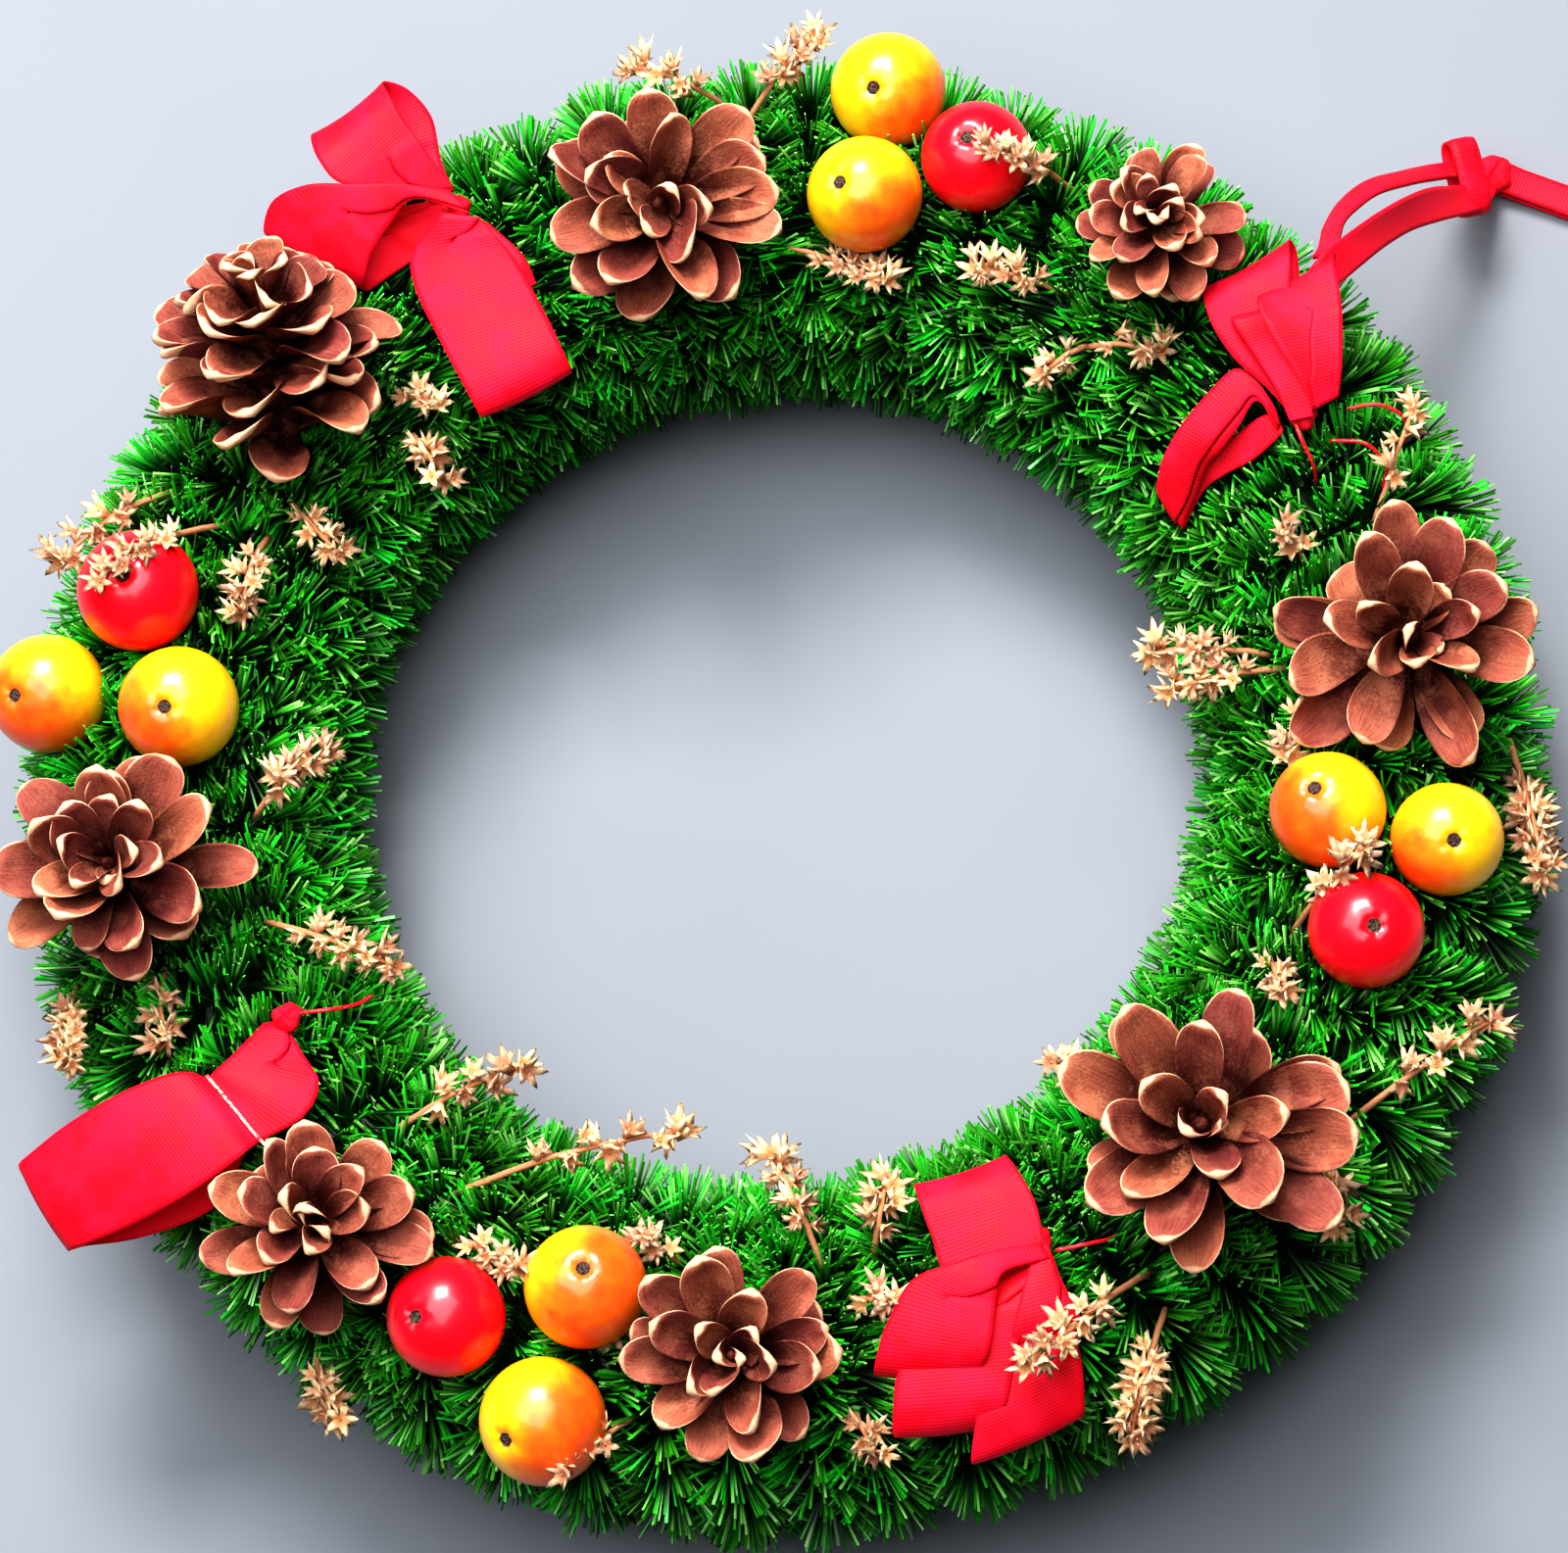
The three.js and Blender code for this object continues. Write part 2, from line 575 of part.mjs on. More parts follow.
// The garland's wound mass at a clock angle: round above, pressed flat where it lies
const ROUND_PART_DEG = [-15, 30, 75, 105, 150, 195];

function garlandSection(clock, sectionRadius) {
  const round = ROUND_PART_DEG.map((angle) => onSection(clock, angle, sectionRadius));
  const flat = [-1, 1].map((sign) => at(clock, RING_RADIUS + sign * FLAT_HALF_WIDTH, 0));
  return [...round, ...flat];
}

function garlandMass(middle, margin) {
  const rings = [];
  const steps = 2 * WRAPS_PER_SECTOR;
  const reach = SECTOR_DEG / 2 - SECTOR_GAP_DEG + margin;
  for (let i = 0; i <= steps; i += 1) {
    const sectionRadius = i % 2 ? CREST_SECTION : VALLEY_SECTION;
    rings.push(garlandSection(middle + lerp(-reach, reach, i / steps), sectionRadius + margin));
  }
  return solidOf(loft(rings));
}

function ringSection(clock, sectionRadius) {
  const step = 360 / BASE_SIDES;
  return [...Array(BASE_SIDES).keys()].map((k) => onSection(clock, step * (k + 0.5), sectionRadius));
}

SPRIGS.forEach(([foot, tip, arch, florets], i) => {
  const random = stream(SPRIG_SEED + i);
  const core = at(foot[0], RING_RADIUS, RING_HEIGHT);
  const root = core.clone().add(at(...foot).sub(core).setLength(SPRIG_ROOT_SECTION));
  const grown = sprigSolid(root, at(...tip), arch, florets, random);
  const sector = Math.round(foot[0] / SECTOR_DEG);
  const masses = [-1, 0, 1].map((next) => garlandMass((sector + next) * SECTOR_DEG, SEAT_GAP));
  const solid = wholeBody(grown.subtract(joined(masses)));
  addPiece(`dried_sprig_${i + 1}`, geometryOf(solid), materials.sprig);
  trims.push(solid);
});

// Straw ring inside the garland
const base = [];
for (let i = 0; i < BASE_STATIONS; i += 1) {
  base.push(ringSection((360 * i) / BASE_STATIONS, BASE_SECTION));
}
addPiece('straw_ring', loft(base, true), materials.straw);

// A needle: a three-sided blade from deep in the wound mass to a fine tip
const NEARLY_UPRIGHT = 0.1;

function needle(root, tip, width) {
  const along = tip.clone().sub(root).normalize();
  const across = new THREE.Vector3(0, 0, 1).cross(along);
  if (across.length() < NEARLY_UPRIGHT) {
    across.set(1, 0, 0);
  }
  across.normalize();
  const up = along.clone().cross(across);
  const corners = TRIANGLE_DEG.map((a) => root.clone()
    .addScaledVector(across, 0.5 * width * Math.cos(rad(a)))
    .addScaledVector(up, 0.5 * width * Math.sin(rad(a))));
  const positions = [...corners, tip].flatMap((p) => [p.x, p.y, p.z]);
  return facedOut(positions, [[0, 1, 2], [0, 3, 1], [1, 3, 2], [2, 3, 0]]);
}

function near(boxA, boxB) {
  return [0, 1, 2].every((k) => boxA.min[k] < boxB.max[k] && boxB.min[k] < boxA.max[k]);
}

function misses(solid, others) {
  const box = solid.boundingBox();
  return others.every((other) => !near(box, other.boundingBox()) || solid.intersect(other).isEmpty());
}

// Needles stand out all round the section, in a fan to both sides of their wrap. One that would meet a
// trim is shorter, and one that still would is left out.
function garlandNeedles(middle, random) {
  const solids = [];
  const reach = SECTOR_DEG / 2 - 2 * SECTOR_GAP_DEG;
  for (let wrap = 0; wrap < WRAPS_PER_SECTOR; wrap += 1) {
    const own = lerp(-reach, reach, (wrap + 0.5) / WRAPS_PER_SECTOR);
    for (let k = 0; k < NEEDLES_PER_WRAP; k += 1) {
      const turn = (360 / NEEDLES_PER_WRAP) * (k + (wrap % 2) / 2 + TURN_STRAY * random());
      const lean = (k % 2 ? 1 : -1) * NEEDLE_LEAN_DEG * within(LEAN_SHARES, random);
      const swing = NEEDLE_SWING_DEG * (random() - 0.5);
      const length = within(LENGTH_SHARES, random);
      const rootReach = reach - ROOT_END_MARGIN_DEG;
      const rootClock = THREE.MathUtils.clamp(own + ROOT_LEAN_SHARE * lean, -rootReach, rootReach);
      const tipClock = THREE.MathUtils.clamp(own + lean, -reach, reach);
      for (const share of NEEDLE_LENGTHS_TRIED) {
        const section = NEEDLE_TIP_SECTION * length * share;
        const root = onSection(middle + rootClock, turn, NEEDLE_ROOT_SECTION);
        const tip = onSection(middle + tipClock, turn + swing, section);
        tip.z = Math.max(tip.z, TABLE_CLEARANCE);
        root.z = Math.max(root.z, ROOT_LOWEST);
        const solid = solidOf(needle(root, tip, NEEDLE_WIDTH));
        if (misses(solid, trims)) {
          solids.push(solid);
          break;
        }
      }
    }
  }
  return solids;
}

// Garland, in twelve lengths, each a sleeve round the straw ring
for (let sector = 0; sector < SECTORS; sector += 1) {
  const middle = sector * SECTOR_DEG;
  const random = stream(GARLAND_SEED + sector);
  const bore = [-0.5, 0, 0.5].map((share) => ringSection(middle + share * SECTOR_DEG,
    BASE_SECTION + SLEEVE_GAP));
  const parts = [garlandMass(middle, 0).subtract(solidOf(loft(bore)))];
  if (sector % WIDEST_EVERY === 0) {
    const root = onSection(middle, 0, NEEDLE_ROOT_SECTION);
    parts.push(solidOf(needle(root, at(middle, OUTER_RADIUS, RING_HEIGHT), NEEDLE_WIDTH)));
  }
  parts.push(...garlandNeedles(middle, random));
  let solid = joined(parts);
  for (const seat of seats) {
    if (near(solid.boundingBox(), seat.boundingBox())) {
      solid = solid.subtract(seat);
    }
  }
  addPiece(`garland_${sector + 1}`, geometryOf(wholeBody(solid)), materials.garland);
}

wreath.position.y = RING_OFFSET_Y;

export default wreath;
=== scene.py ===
import math

import bpy
import numpy as np
from mathutils import Matrix, Vector


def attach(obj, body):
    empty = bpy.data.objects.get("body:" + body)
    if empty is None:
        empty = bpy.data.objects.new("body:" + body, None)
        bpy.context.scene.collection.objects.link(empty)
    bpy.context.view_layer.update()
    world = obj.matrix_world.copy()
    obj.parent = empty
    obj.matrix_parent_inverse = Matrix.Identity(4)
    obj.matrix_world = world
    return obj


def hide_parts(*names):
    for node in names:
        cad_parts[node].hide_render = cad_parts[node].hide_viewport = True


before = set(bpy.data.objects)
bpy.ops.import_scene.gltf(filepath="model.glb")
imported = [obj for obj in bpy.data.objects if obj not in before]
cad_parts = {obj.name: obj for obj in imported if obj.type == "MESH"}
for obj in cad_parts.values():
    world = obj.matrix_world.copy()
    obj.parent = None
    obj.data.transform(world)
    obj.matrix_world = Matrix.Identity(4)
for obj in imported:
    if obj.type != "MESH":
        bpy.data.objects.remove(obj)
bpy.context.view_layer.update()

bl_info = {
    "name": "Christmas Wreath",
    "version": (1, 0, 0),
    "blender": (4, 5, 0),
    "location": "View3D > Sidebar > Wreath",
    "description": "Needle garland wreath with pine cones, apples, ribbon bows and dried flowers",
    "category": "Object",
}

# Every length below is in millimetres, in the ring's own frame: the ring's centre at the origin on
# the table, +Y towards the hanging loop, +Z up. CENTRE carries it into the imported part's frame. A
# clock angle is in degrees, from +Y round towards +X.
MM = 0.001
CENTRE = np.array([0.0, 4.4, 0.0])
UP = np.array([0.0, 0.0, 1.0])
GOLDEN_RATIO = 0.618034
GOLDEN_ANGLE_DEG = 137.508

# The garland: its ring, its lengths and the turns of wire in each, three radii of its section, from
# the hollow for the straw ring over the outside of the wound core to the needles' wire, and the
# height of the ridges on the core
RING_RADIUS = 121.0
RING_HEIGHT = 34.0
LENGTHS = 12
LENGTH_DEG = 360.0 / LENGTHS
WRAPS = 5
HOLLOW_SECTION = 20.5
CORE_SECTION = 23.4
WIRE_SECTION = 25.0
RIDGE_HEIGHT = 1.4

# The needles: how many leave the wire in one sheaf, the fan of the sheaves and the strays of the
# wire and of a needle in degrees, the sway of a sheaf and of a needle, the least and greatest length
# and width as shares, the lengths tried where something is in the way, where such a needle is
# tested, the share with a painted glint at the tip, and how far above the table the needles stop
SHEAF_SIZE = 10
FAN_DEG = 212
WIRE_STRAY_DEG, FAN_STRAY_DEG = 0.7, 12
SHEAF_SWAY, NEEDLE_SWAY = 0.26, 0.17
LENGTH_SHARES, WIDTH_SHARES = (0.84, 1.0), (0.8, 1.2)
NEEDLE_CUTS = (0.3, 0.45, 0.6, 0.8, 1.0)
TEST_SHARES = (0.3, 0.55, 0.8, 1.0)
GLINT_SHARE = 0.2
TABLE_GAP = 0.4

# The ribbon: how much wider than its track it has to be before it folds, and before it folds fully,
# the spare width that turns it right over, the drop of a layer, where layers and folds are cut, and
# the stations along a stretch of a bow and along the hanging ribbon
RIBBON_WIDTH = 22.0
PLEAT_FROM, PLEAT_FULL = 4.5, 9.0
PLEAT_TURN = 1.6
PLEAT_DROP = 0.33
LAYER_CUTS = np.array([0, 0.14, 0.28, 0.42, 0.56, 0.7, 0.84, 0.95])
FOLD_CUTS = np.array([0.1, 0.5, 0.9])
BOW_STATIONS, HANGER_STATIONS = 64, 260

# Radii of the thin lines: tie wires, crease thread, main twig at its foot and end, side twig
WIRE_RADIUS = 0.4
THREAD_RADIUS = 0.35
TWIG_RADII = (0.75, 0.4)
SIDE_TWIG_RADIUS = 0.26

# The florets: petals of each, least and greatest radius, and how many have a smaller one under them
PETALS = 5
FLORET_RADII = (2.5, 3.6)
LOW_FLORET_SHARE = 0.95

# Camera: where it stands, what it looks at, and the way of the picture's upper edge in the XY plane
CAMERA_PLACE = (254.1, -108.8, 885.95)
CAMERA_TARGET = (0.0, 4.4, 30.0)
CAMERA_UP_DEG = 137.87
CAMERA_LENS = 100.35
CAMERA_SHIFT = (0.0035, 0.0031)

# Each light: angle in the XY plane and angle of height, distance and size in metres, watts, colour
LIGHTS = {
    "window": ((147, 56), 1.6, (0.6, 0.55), 34.0, (1.0, 0.99, 0.97)),
    "sky": ((195, 80), 0.9, (0.9, 0.9), 12.5, (0.95, 0.97, 1.0)),
}
ROOM_COLOUR = (0.9, 0.94, 1.0)
ROOM_STRENGTH = 0.04
FLOOR_CORNERS = ((-3, -3), (3, -3), (3, 3), (-3, 3))

# Cones: clock angle, distance, height of the foot, radius, length, tilt, clock angle of the lean,
# scales, form
CONES = (
    (302.0, 112.4, 65, 26.5, 27, 13, 118, 26, "rosette"),
    (351.1, 129.4, 65, 18.5, 27, 5, 118, 32, "crown"),
    (35.8, 128, 65, 26.5, 27, 14, 129, 26, "daisy"),
    (87.0, 119.5, 65, 29.5, 28, 6, 132, 25, "daisy"),
    (134.4, 125.5, 65, 22.5, 26, 9, 98, 26, "rosette"),
    (172.8, 129.9, 64.5, 23, 27, 9, 112, 28, "crown"),
    (210, 129.0, 64, 25.5, 28, 6, 132, 30, "crown"),
    (256, 118.4, 62, 27.5, 40, 35, 312, 50, "upright"),
)

# Forms of a cone, from its base to its tip: how far its scales open from the axis in degrees, their
# reach and width as shares of the radius, their feet as shares of the length, the curl of their
# ends, their cup
CONE_FORMS = {
    "rosette": {"opening": (69, 57, 45, 28, 12), "reach": (1.12, 1.06, 0.8, 0.44),
                "width": (0.215, 0.19, 0.11), "foot": (0.05, 0.31, 0.5), "curl": 10, "cup": 0.6},
    "daisy": {"opening": (72, 63, 50, 32, 14), "reach": (1.13, 1.08, 0.76, 0.4),
              "width": (0.2, 0.17, 0.1), "foot": (0.05, 0.25, 0.4), "curl": 6, "cup": 0.48},
    "crown": {"opening": (70, 59, 48, 32, 12), "reach": (1.11, 1.0, 0.72, 0.44),
              "width": (0.205, 0.175, 0.1), "foot": (0.05, 0.36, 0.6), "curl": 10, "cup": 0.58},
    "upright": {"opening": (70, 66, 57, 42, 14), "reach": (1.04, 0.92, 0.64, 0.42),
                "width": (0.215, 0.185, 0.11), "foot": (0.0, 0.46, 0.86), "curl": 6, "cup": 0.6},
}

# The stations along a scale and the corners round it; how far it strays from its turn, in radians;
# the least and greatest reach and width of a scale as shares, and the reach of the first scales,
# which stay small; where along a scale its end starts to round off, and over how much of it
SCALE_STATIONS, SCALE_CORNERS = 17, 14
TURN_STRAY = 0.16
REACH_SPREAD, WIDTH_SPREAD = (0.97, 1.12), (0.88, 1.12)
FIRST_REACHES = (0.62, 0.72, 0.8, 0.87, 0.93)
ROUND_FROM, ROUND_OVER = 0.74, 0.262

# How near things come: needles to the ribbon above them and to an apple, scales to an apple. A
# scale that comes nearer is made shorter, several times over. The last row is the heart of a cone,
# in which needles stop: the height it starts at, and its radius at the foot and what that loses by
# the tip, as shares
RIBBON_CLEARANCE = 0.6
NEEDLE_CLEARANCE = 0.3
SCALE_CLEARANCE = 1.8
SHORTER, SHORTENINGS = 0.92, 6
CONE_HEART_FROM, CONE_HEART, CONE_HEART_TAPER = 4.0, 0.88, 0.4

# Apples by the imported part's node: clock angle, distance, height of the centre, radius, tilt and
# clock angle of the calyx, clock angle that the blush faces, how far it spreads
APPLES = {
    "fruit_top_far": (322.9, 140.8, 64.4, 12.0, 25, 163, 92, 0.3),
    "fruit_top_near": (323.1, 114.4, 70.5, 11.9, 25, 202, 104, 0.32),
    "fruit_top_red": (332.6, 127.9, 70, 11.4, 8, 205, 0, 0),
    "fruit_right_inner": (53.0, 112.8, 69.6, 11.3, 17, 251, 190, 0.5),
    "fruit_right_outer": (53.6, 136.2, 66.8, 11.0, 18, 117, 178, 0.3),
    "fruit_right_red": (63.4, 125.8, 69.9, 11.2, 12, 99, 0, 0),
    "fruit_bottom_red": (159.2, 131.4, 69, 11.5, 26, 201, 0, 0),
    "fruit_bottom_inner": (148.4, 116.8, 70.8, 11.8, 10, 344, 70, 0.72),
    "fruit_bottom_outer": (149.0, 142.8, 65, 12.3, 42, 183, 72, 0.55),
    "fruit_left_red": (236.2, 129.6, 71.4, 12.3, 4, 161, 0, 0),
    "fruit_left_outer": (227.4, 146.6, 61.6, 12.1, 29, 183, 158, 0.5),
    "fruit_left_inner": (225.4, 116.6, 71.1, 12.1, 18, 137, 176, 0.38),
}

# An apple's widest radius as a share of the plain one, how far its blush leans from the top, and
# the mark of the skin away from its calyx
APPLE_SWELL = 1.02
BLUSH_TILT = 68
FAR_FROM_CALYX = 9.0

# How far a bow's knot sits below the place where the bow is tied, its radius and squash
KNOT_SINK = 0.6
KNOT_SIZE = (2.9, (1.0, 1.0, 0.9))

# Where each bow is tied: clock angle, distance, height
KNOTS = {
    "bow_left": (283.2, 129.6, 70),
    "bow_hanger": (13.0, 124.6, 70),
    "bow_bottom": (190.3, 108.9, 70),
    "bow_right": (105.3, 117.5, 70),
}

# Each stretch of ribbon in a bow as stations along it: left edge x, y, z, then right edge x, y, z.
# It leaves the knot on top, turns over its far fold and comes back underneath.
BOW_STRIPS = {
    "bow_left": {
        "roll": [
            (-130.9, 28.8, 73, -128.6, 31.7, 73), (-137.9, 20.7, 76, -136.3, 32.1, 77),
            (-143.3, 14.5, 79, -143.8, 33, 80), (-149.8, 14.5, 80, -150.2, 34.3, 81),
            (-156.4, 17.2, 77, -155.2, 36.2, 77), (-157.9, 19.6, 72, -152.6, 39.6, 72),
            (-152.8, 20.9, 69, -145.8, 39.5, 69), (-144.1, 24, 68, -137.6, 34.7, 68),
            (-131.5, 28.7, 69, -130.2, 32.1, 69),
        ],
        "turned": [
            (-128.3, 30.1, 75, -121.1, 30.1, 75), (-135, 23.2, 78, -130.9, 23.7, 76),
            (-141, 16.2, 79.5, -130.8, 16.2, 75), (-147.8, 9.4, 79, -129.9, 9.7, 72),
            (-151.6, 2.4, 76, -128.2, 6, 69), (-150, -2.8, 71, -127.8, 4.8, 65),
            (-150.1, 0.8, 67, -128.3, 7.3, 62.5), (-144.9, 9.7, 66, -127.5, 13.9, 62.5),
            (-138.4, 19.5, 66, -125.5, 23.3, 64), (-131.4, 29.1, 67, -122.6, 30.6, 67),
        ],
        "straight": [
            (-125.4, 25.8, 75, -118.8, 30.5, 75.5), (-124.7, 16.6, 71, -114.1, 30.6, 74),
            (-118.4, 11.6, 71, -107.5, 30.2, 72), (-105.7, 7.6, 70, -96.2, 27.5, 70),
            (-94.4, 4.6, 68.5, -87.2, 24.7, 68.5), (-89.7, 3.5, 65, -84, 23.6, 65),
            (-94.3, 5, 62.5, -88, 23.8, 62.5), (-110.1, 9.7, 62.5, -101.4, 27.5, 63),
            (-124.3, 19.1, 66, -117.8, 29.8, 66),
        ],
        "tail": [
            (-121.8, 28.4, 68.5, -120, 32.3, 68.5), (-110, 27.7, 67, -109.9, 33, 67),
            (-104.9, 28.2, 64.5, -104.2, 31.3, 64),
        ],
    },
    "bow_hanger": {
        "left": [
            (26.4, 119.5, 70.5, 29.6, 125.4, 71), (19.5, 119.9, 71.5, 23.8, 127.4, 73),
            (11.1, 119.1, 73.5, 16.6, 130.8, 75), (3.4, 120.4, 75, 9.6, 135.8, 76.5),
            (-1.7, 122.9, 75.5, 4.1, 141, 77), (-4.8, 125.7, 72.5, 0.2, 144.5, 74),
            (-3.5, 126.9, 68.5, 2, 145.1, 69.5), (5.3, 123.7, 66, 11.1, 138.1, 67),
            (25.9, 121.9, 67, 28, 127.1, 67),
        ],
        "pleat": [
            (27.7, 118.3, 71.5, 30.3, 122.1, 72), (21.2, 120.5, 73.5, 24.2, 125.6, 75),
            (13, 122.2, 75, 16.4, 127.4, 77), (6, 123.5, 76, 9.7, 128.5, 78),
            (4.6, 125.3, 73, 7.9, 130.6, 74),
        ],
        "top": [
            (29.2, 122.2, 72.5, 30.6, 128.4, 72), (23.6, 124.4, 76, 27.2, 132.6, 75),
            (15.7, 125.8, 78.5, 22.4, 137.5, 77), (9.2, 127.9, 79, 16.2, 142.9, 77.5),
            (5.7, 130.5, 77, 9.1, 148.1, 75), (6.3, 132.7, 72, 10.3, 148.7, 71.5),
            (13.8, 130, 70, 20, 139.3, 70), (28, 124.3, 68.5, 29, 129.7, 68.5),
        ],
        "inner": [
            (23.1, 118.7, 69.5, 26.8, 116.5, 68.5), (16.7, 119.5, 71.5, 23.7, 116.8, 70.5),
            (11.9, 118.3, 71.5, 19.4, 116.6, 71), (11.4, 110.6, 69.5, 20.5, 110.9, 69),
            (12, 102.8, 67, 21, 105.5, 66), (13.6, 96.6, 64, 20.9, 101.9, 62.5),
            (15.5, 93.4, 61.5, 22.6, 97.3, 57.5), (16.4, 92.2, 59.5, 24.2, 91.7, 54),
            (17.7, 92.9, 57.5, 23.8, 92.5, 52.5), (18.8, 99.4, 58.5, 21.8, 99.8, 56),
            (19, 105.3, 61, 23.5, 104.5, 59.5), (20.1, 111.3, 64, 26.2, 109.7, 63),
            (21.3, 115.6, 66.5, 27.2, 114.8, 66), (22.8, 118.6, 67.5, 27.3, 117.1, 67.5),
        ],
    },
    "bow_bottom": {
        "long": [
            (-22.1, -111.5, 68.5, -19.8, -108.1, 68.5), (-20.9, -116.5, 71, -11.5, -109.5, 70),
            (-19.9, -121.8, 73, -4.5, -111.2, 70.5), (-19.8, -124.4, 73.6, -1.2, -117.7, 72),
            (-20.1, -126.6, 72.6, -3.4, -126.8, 71.8), (-22.1, -127.9, 74.6, -3.1, -129.7, 74),
            (-25.1, -131.8, 75.6, -3, -133, 74.6), (-28.9, -141.4, 75, -4.9, -144, 73),
            (-32.2, -152.3, 72, -9, -155.4, 68.5), (-34, -161.2, 68.5, -13.9, -165.4, 64),
            (-35, -165, 65.5, -16.6, -169, 60), (-34.7, -163.9, 61.5, -16.3, -166.3, 56.5),
            (-32.7, -149.5, 61.5, -9.8, -157.1, 57), (-27.6, -136.5, 62, -4.1, -143.7, 58),
            (-22.3, -125.9, 64, -5.3, -133.9, 62), (-22.1, -112.8, 65.5, -19.4, -109.1, 65.5),
        ],
    },
    "bow_right": {
        "top": [
            (115.2, -36.3, 70.5, 115.4, -30.5, 71.5), (107.2, -47.3, 71, 113, -29.1, 72),
            (99, -44.8, 71.5, 108, -26.2, 72), (92.8, -42.1, 71, 101.6, -24.4, 71),
            (89, -40.2, 67.5, 96.8, -23.6, 67.5), (91.2, -39.1, 64.5, 98.6, -23.8, 64.5),
            (99.8, -42.8, 64.5, 108.1, -26.7, 64.5), (114.6, -35.1, 67, 115.3, -30.7, 67),
        ],
        "low": [
            (116.2, -35.5, 71, 117.2, -31.4, 71.5), (112.5, -52.2, 71.5, 120.8, -39.3, 73),
            (113.4, -65.6, 71, 126.3, -48.3, 71.5), (117.9, -72.1, 69.5, 131.5, -55.4, 70),
            (121.3, -75.5, 65.5, 133.2, -58.9, 65.5), (119.7, -72.3, 62.5, 131.8, -56.6, 62.5),
            (112.5, -57.2, 62.5, 122.2, -42.5, 63), (116.3, -34.2, 67, 116.6, -31.1, 67),
        ],
        "far": [
            (117.3, -34.9, 70, 117.5, -30.7, 70.5), (121.4, -48.5, 69.5, 124.8, -34.3, 70.5),
            (127.5, -58.3, 69.5, 134.2, -39.4, 69.5), (131.9, -64.7, 67.5, 139.4, -43.3, 67.5),
            (134.9, -68.2, 64, 142.6, -46.7, 64), (133.2, -64.7, 61.5, 139.1, -45.8, 61.5),
            (124.1, -51.1, 62, 127.6, -37.4, 62.5), (117, -34.1, 66, 117, -30.5, 66),
        ],
        "wide": [
            (114.8, -30.8, 73, 117.9, -31.6, 73.5), (110.4, -38.2, 76, 114.5, -39.5, 76),
            (106.6, -46.3, 77, 116.1, -43.4, 76.5), (103.7, -53.7, 76, 118.8, -46.6, 75.5),
            (106.2, -62.4, 74.5, 122.2, -50.8, 74.5), (108.7, -67.4, 72.5, 123.8, -53.6, 73),
            (110.6, -70.4, 69, 124.3, -55.6, 69.5), (110.5, -68.5, 66.5, 123.2, -54, 66.8),
            (105.7, -57.3, 66.5, 117, -45.4, 67), (114.7, -32.6, 68.5, 117.1, -31.1, 68.5),
        ],
        "pleated": [
            (114.4, -32, 73, 116, -30, 73), (119, -39.6, 74, 122.6, -32.8, 73),
            (123, -45.9, 73, 128.5, -34.4, 72), (124.6, -48.7, 69.5, 131.1, -35.7, 69.5),
            (124.1, -46.5, 67.5, 129.1, -35.2, 67.5), (116.1, -33.9, 68.5, 117.2, -31, 68.5),
        ],
    },
}

# The two strands of the hanging ribbon as stations from the bow outwards
NEAR_STRAND = (
    (8.2, 141.5, 73.6, 14.8, 138.6, 72.6), (7.4, 145.6, 75, 14.2, 142.4, 74),
    (6.9, 151.1, 73, 13.2, 147.6, 71), (5.9, 158.1, 68, 11.7, 154.2, 65.5),
    (4.6, 166.1, 61, 9.8, 162.3, 58), (3.2, 175, 52, 8.1, 171.9, 48),
    (1.8, 183.9, 41, 7.5, 181.2, 37), (1.3, 191, 30, 6.9, 189.8, 26),
    (0.6, 197.1, 20, 5.9, 197.4, 16), (-0.8, 203, 10.5, 3.2, 203.6, 8),
    (-2.4, 207.8, 5, 0.6, 207.4, 4),
)
FAR_STRAND = (
    (4.4, 147.2, 67.5, 7.4, 149.4, 69.5), (3.4, 149.7, 66, 6.2, 152.3, 68.5),
    (0.9, 152.9, 61.5, 3.8, 155.5, 64.5), (-2.1, 157, 57, 0.9, 159.7, 60.5),
    (-5.4, 164.4, 52, -0.9, 165.3, 55.5), (-6.4, 173.2, 47.5, -1.7, 172.4, 50.5),
    (-5.9, 183.6, 37.5, -1.7, 181.8, 40.5), (-6.3, 192, 27, -2.1, 190, 29.5),
    (-6.7, 198.6, 17.5, -2.4, 197.1, 19.5), (-6.2, 204, 9.5, -2.2, 203, 10.2),
    (-4.4, 208.4, 6, -2, 206.6, 6),
)

# Its far loop: the middle line of its lower side, how far the upper side is above that, how far the
# turn between them reaches on, the ribbon's thickness, and its knot: middle, radius and squash
HOOK_LOOP = ((-1.2, 209.2, 2.6), (4, 211.8, 1.4), (13.7, 216.2, 1.0), (24, 220.4, 1.0),
             (34, 224, 1.0), (42.6, 226.5, 1.0))
HANGER_RISE = 2.0
HANGER_TURN = (0.9, 0.36, 0)
HANGER_THICKNESS = 0.8
HANGER_KNOT = (-1.8, 209, 4.1)
HANGER_KNOT_SIZE = (3.9, (1.15, 1.0, 0.85))

# The band wound round both strands: its middle, the way of its long side and roughly that of its
# width, half its length and thickness, and its section as places across the width and how far each
# stands out
WRAP_MIDDLE = (-1.2, 199.2, 18.2)
WRAP_LONG_WAY = (-10.5, 6.0, 3.5)
WRAP_WIDE_WAY = (0.5, 0.76, -0.3)
WRAP_HALF_LONG, WRAP_HALF_THICK = 7.6, 2.6
WRAP_SECTION = ((-3.1, 0), (-3.0, 0.7), (-1.5, 0.95), (1.5, 0.95), (3.0, 0.7), (3.1, 0), (1.5, 0.1),
                (-1.5, 0.1))

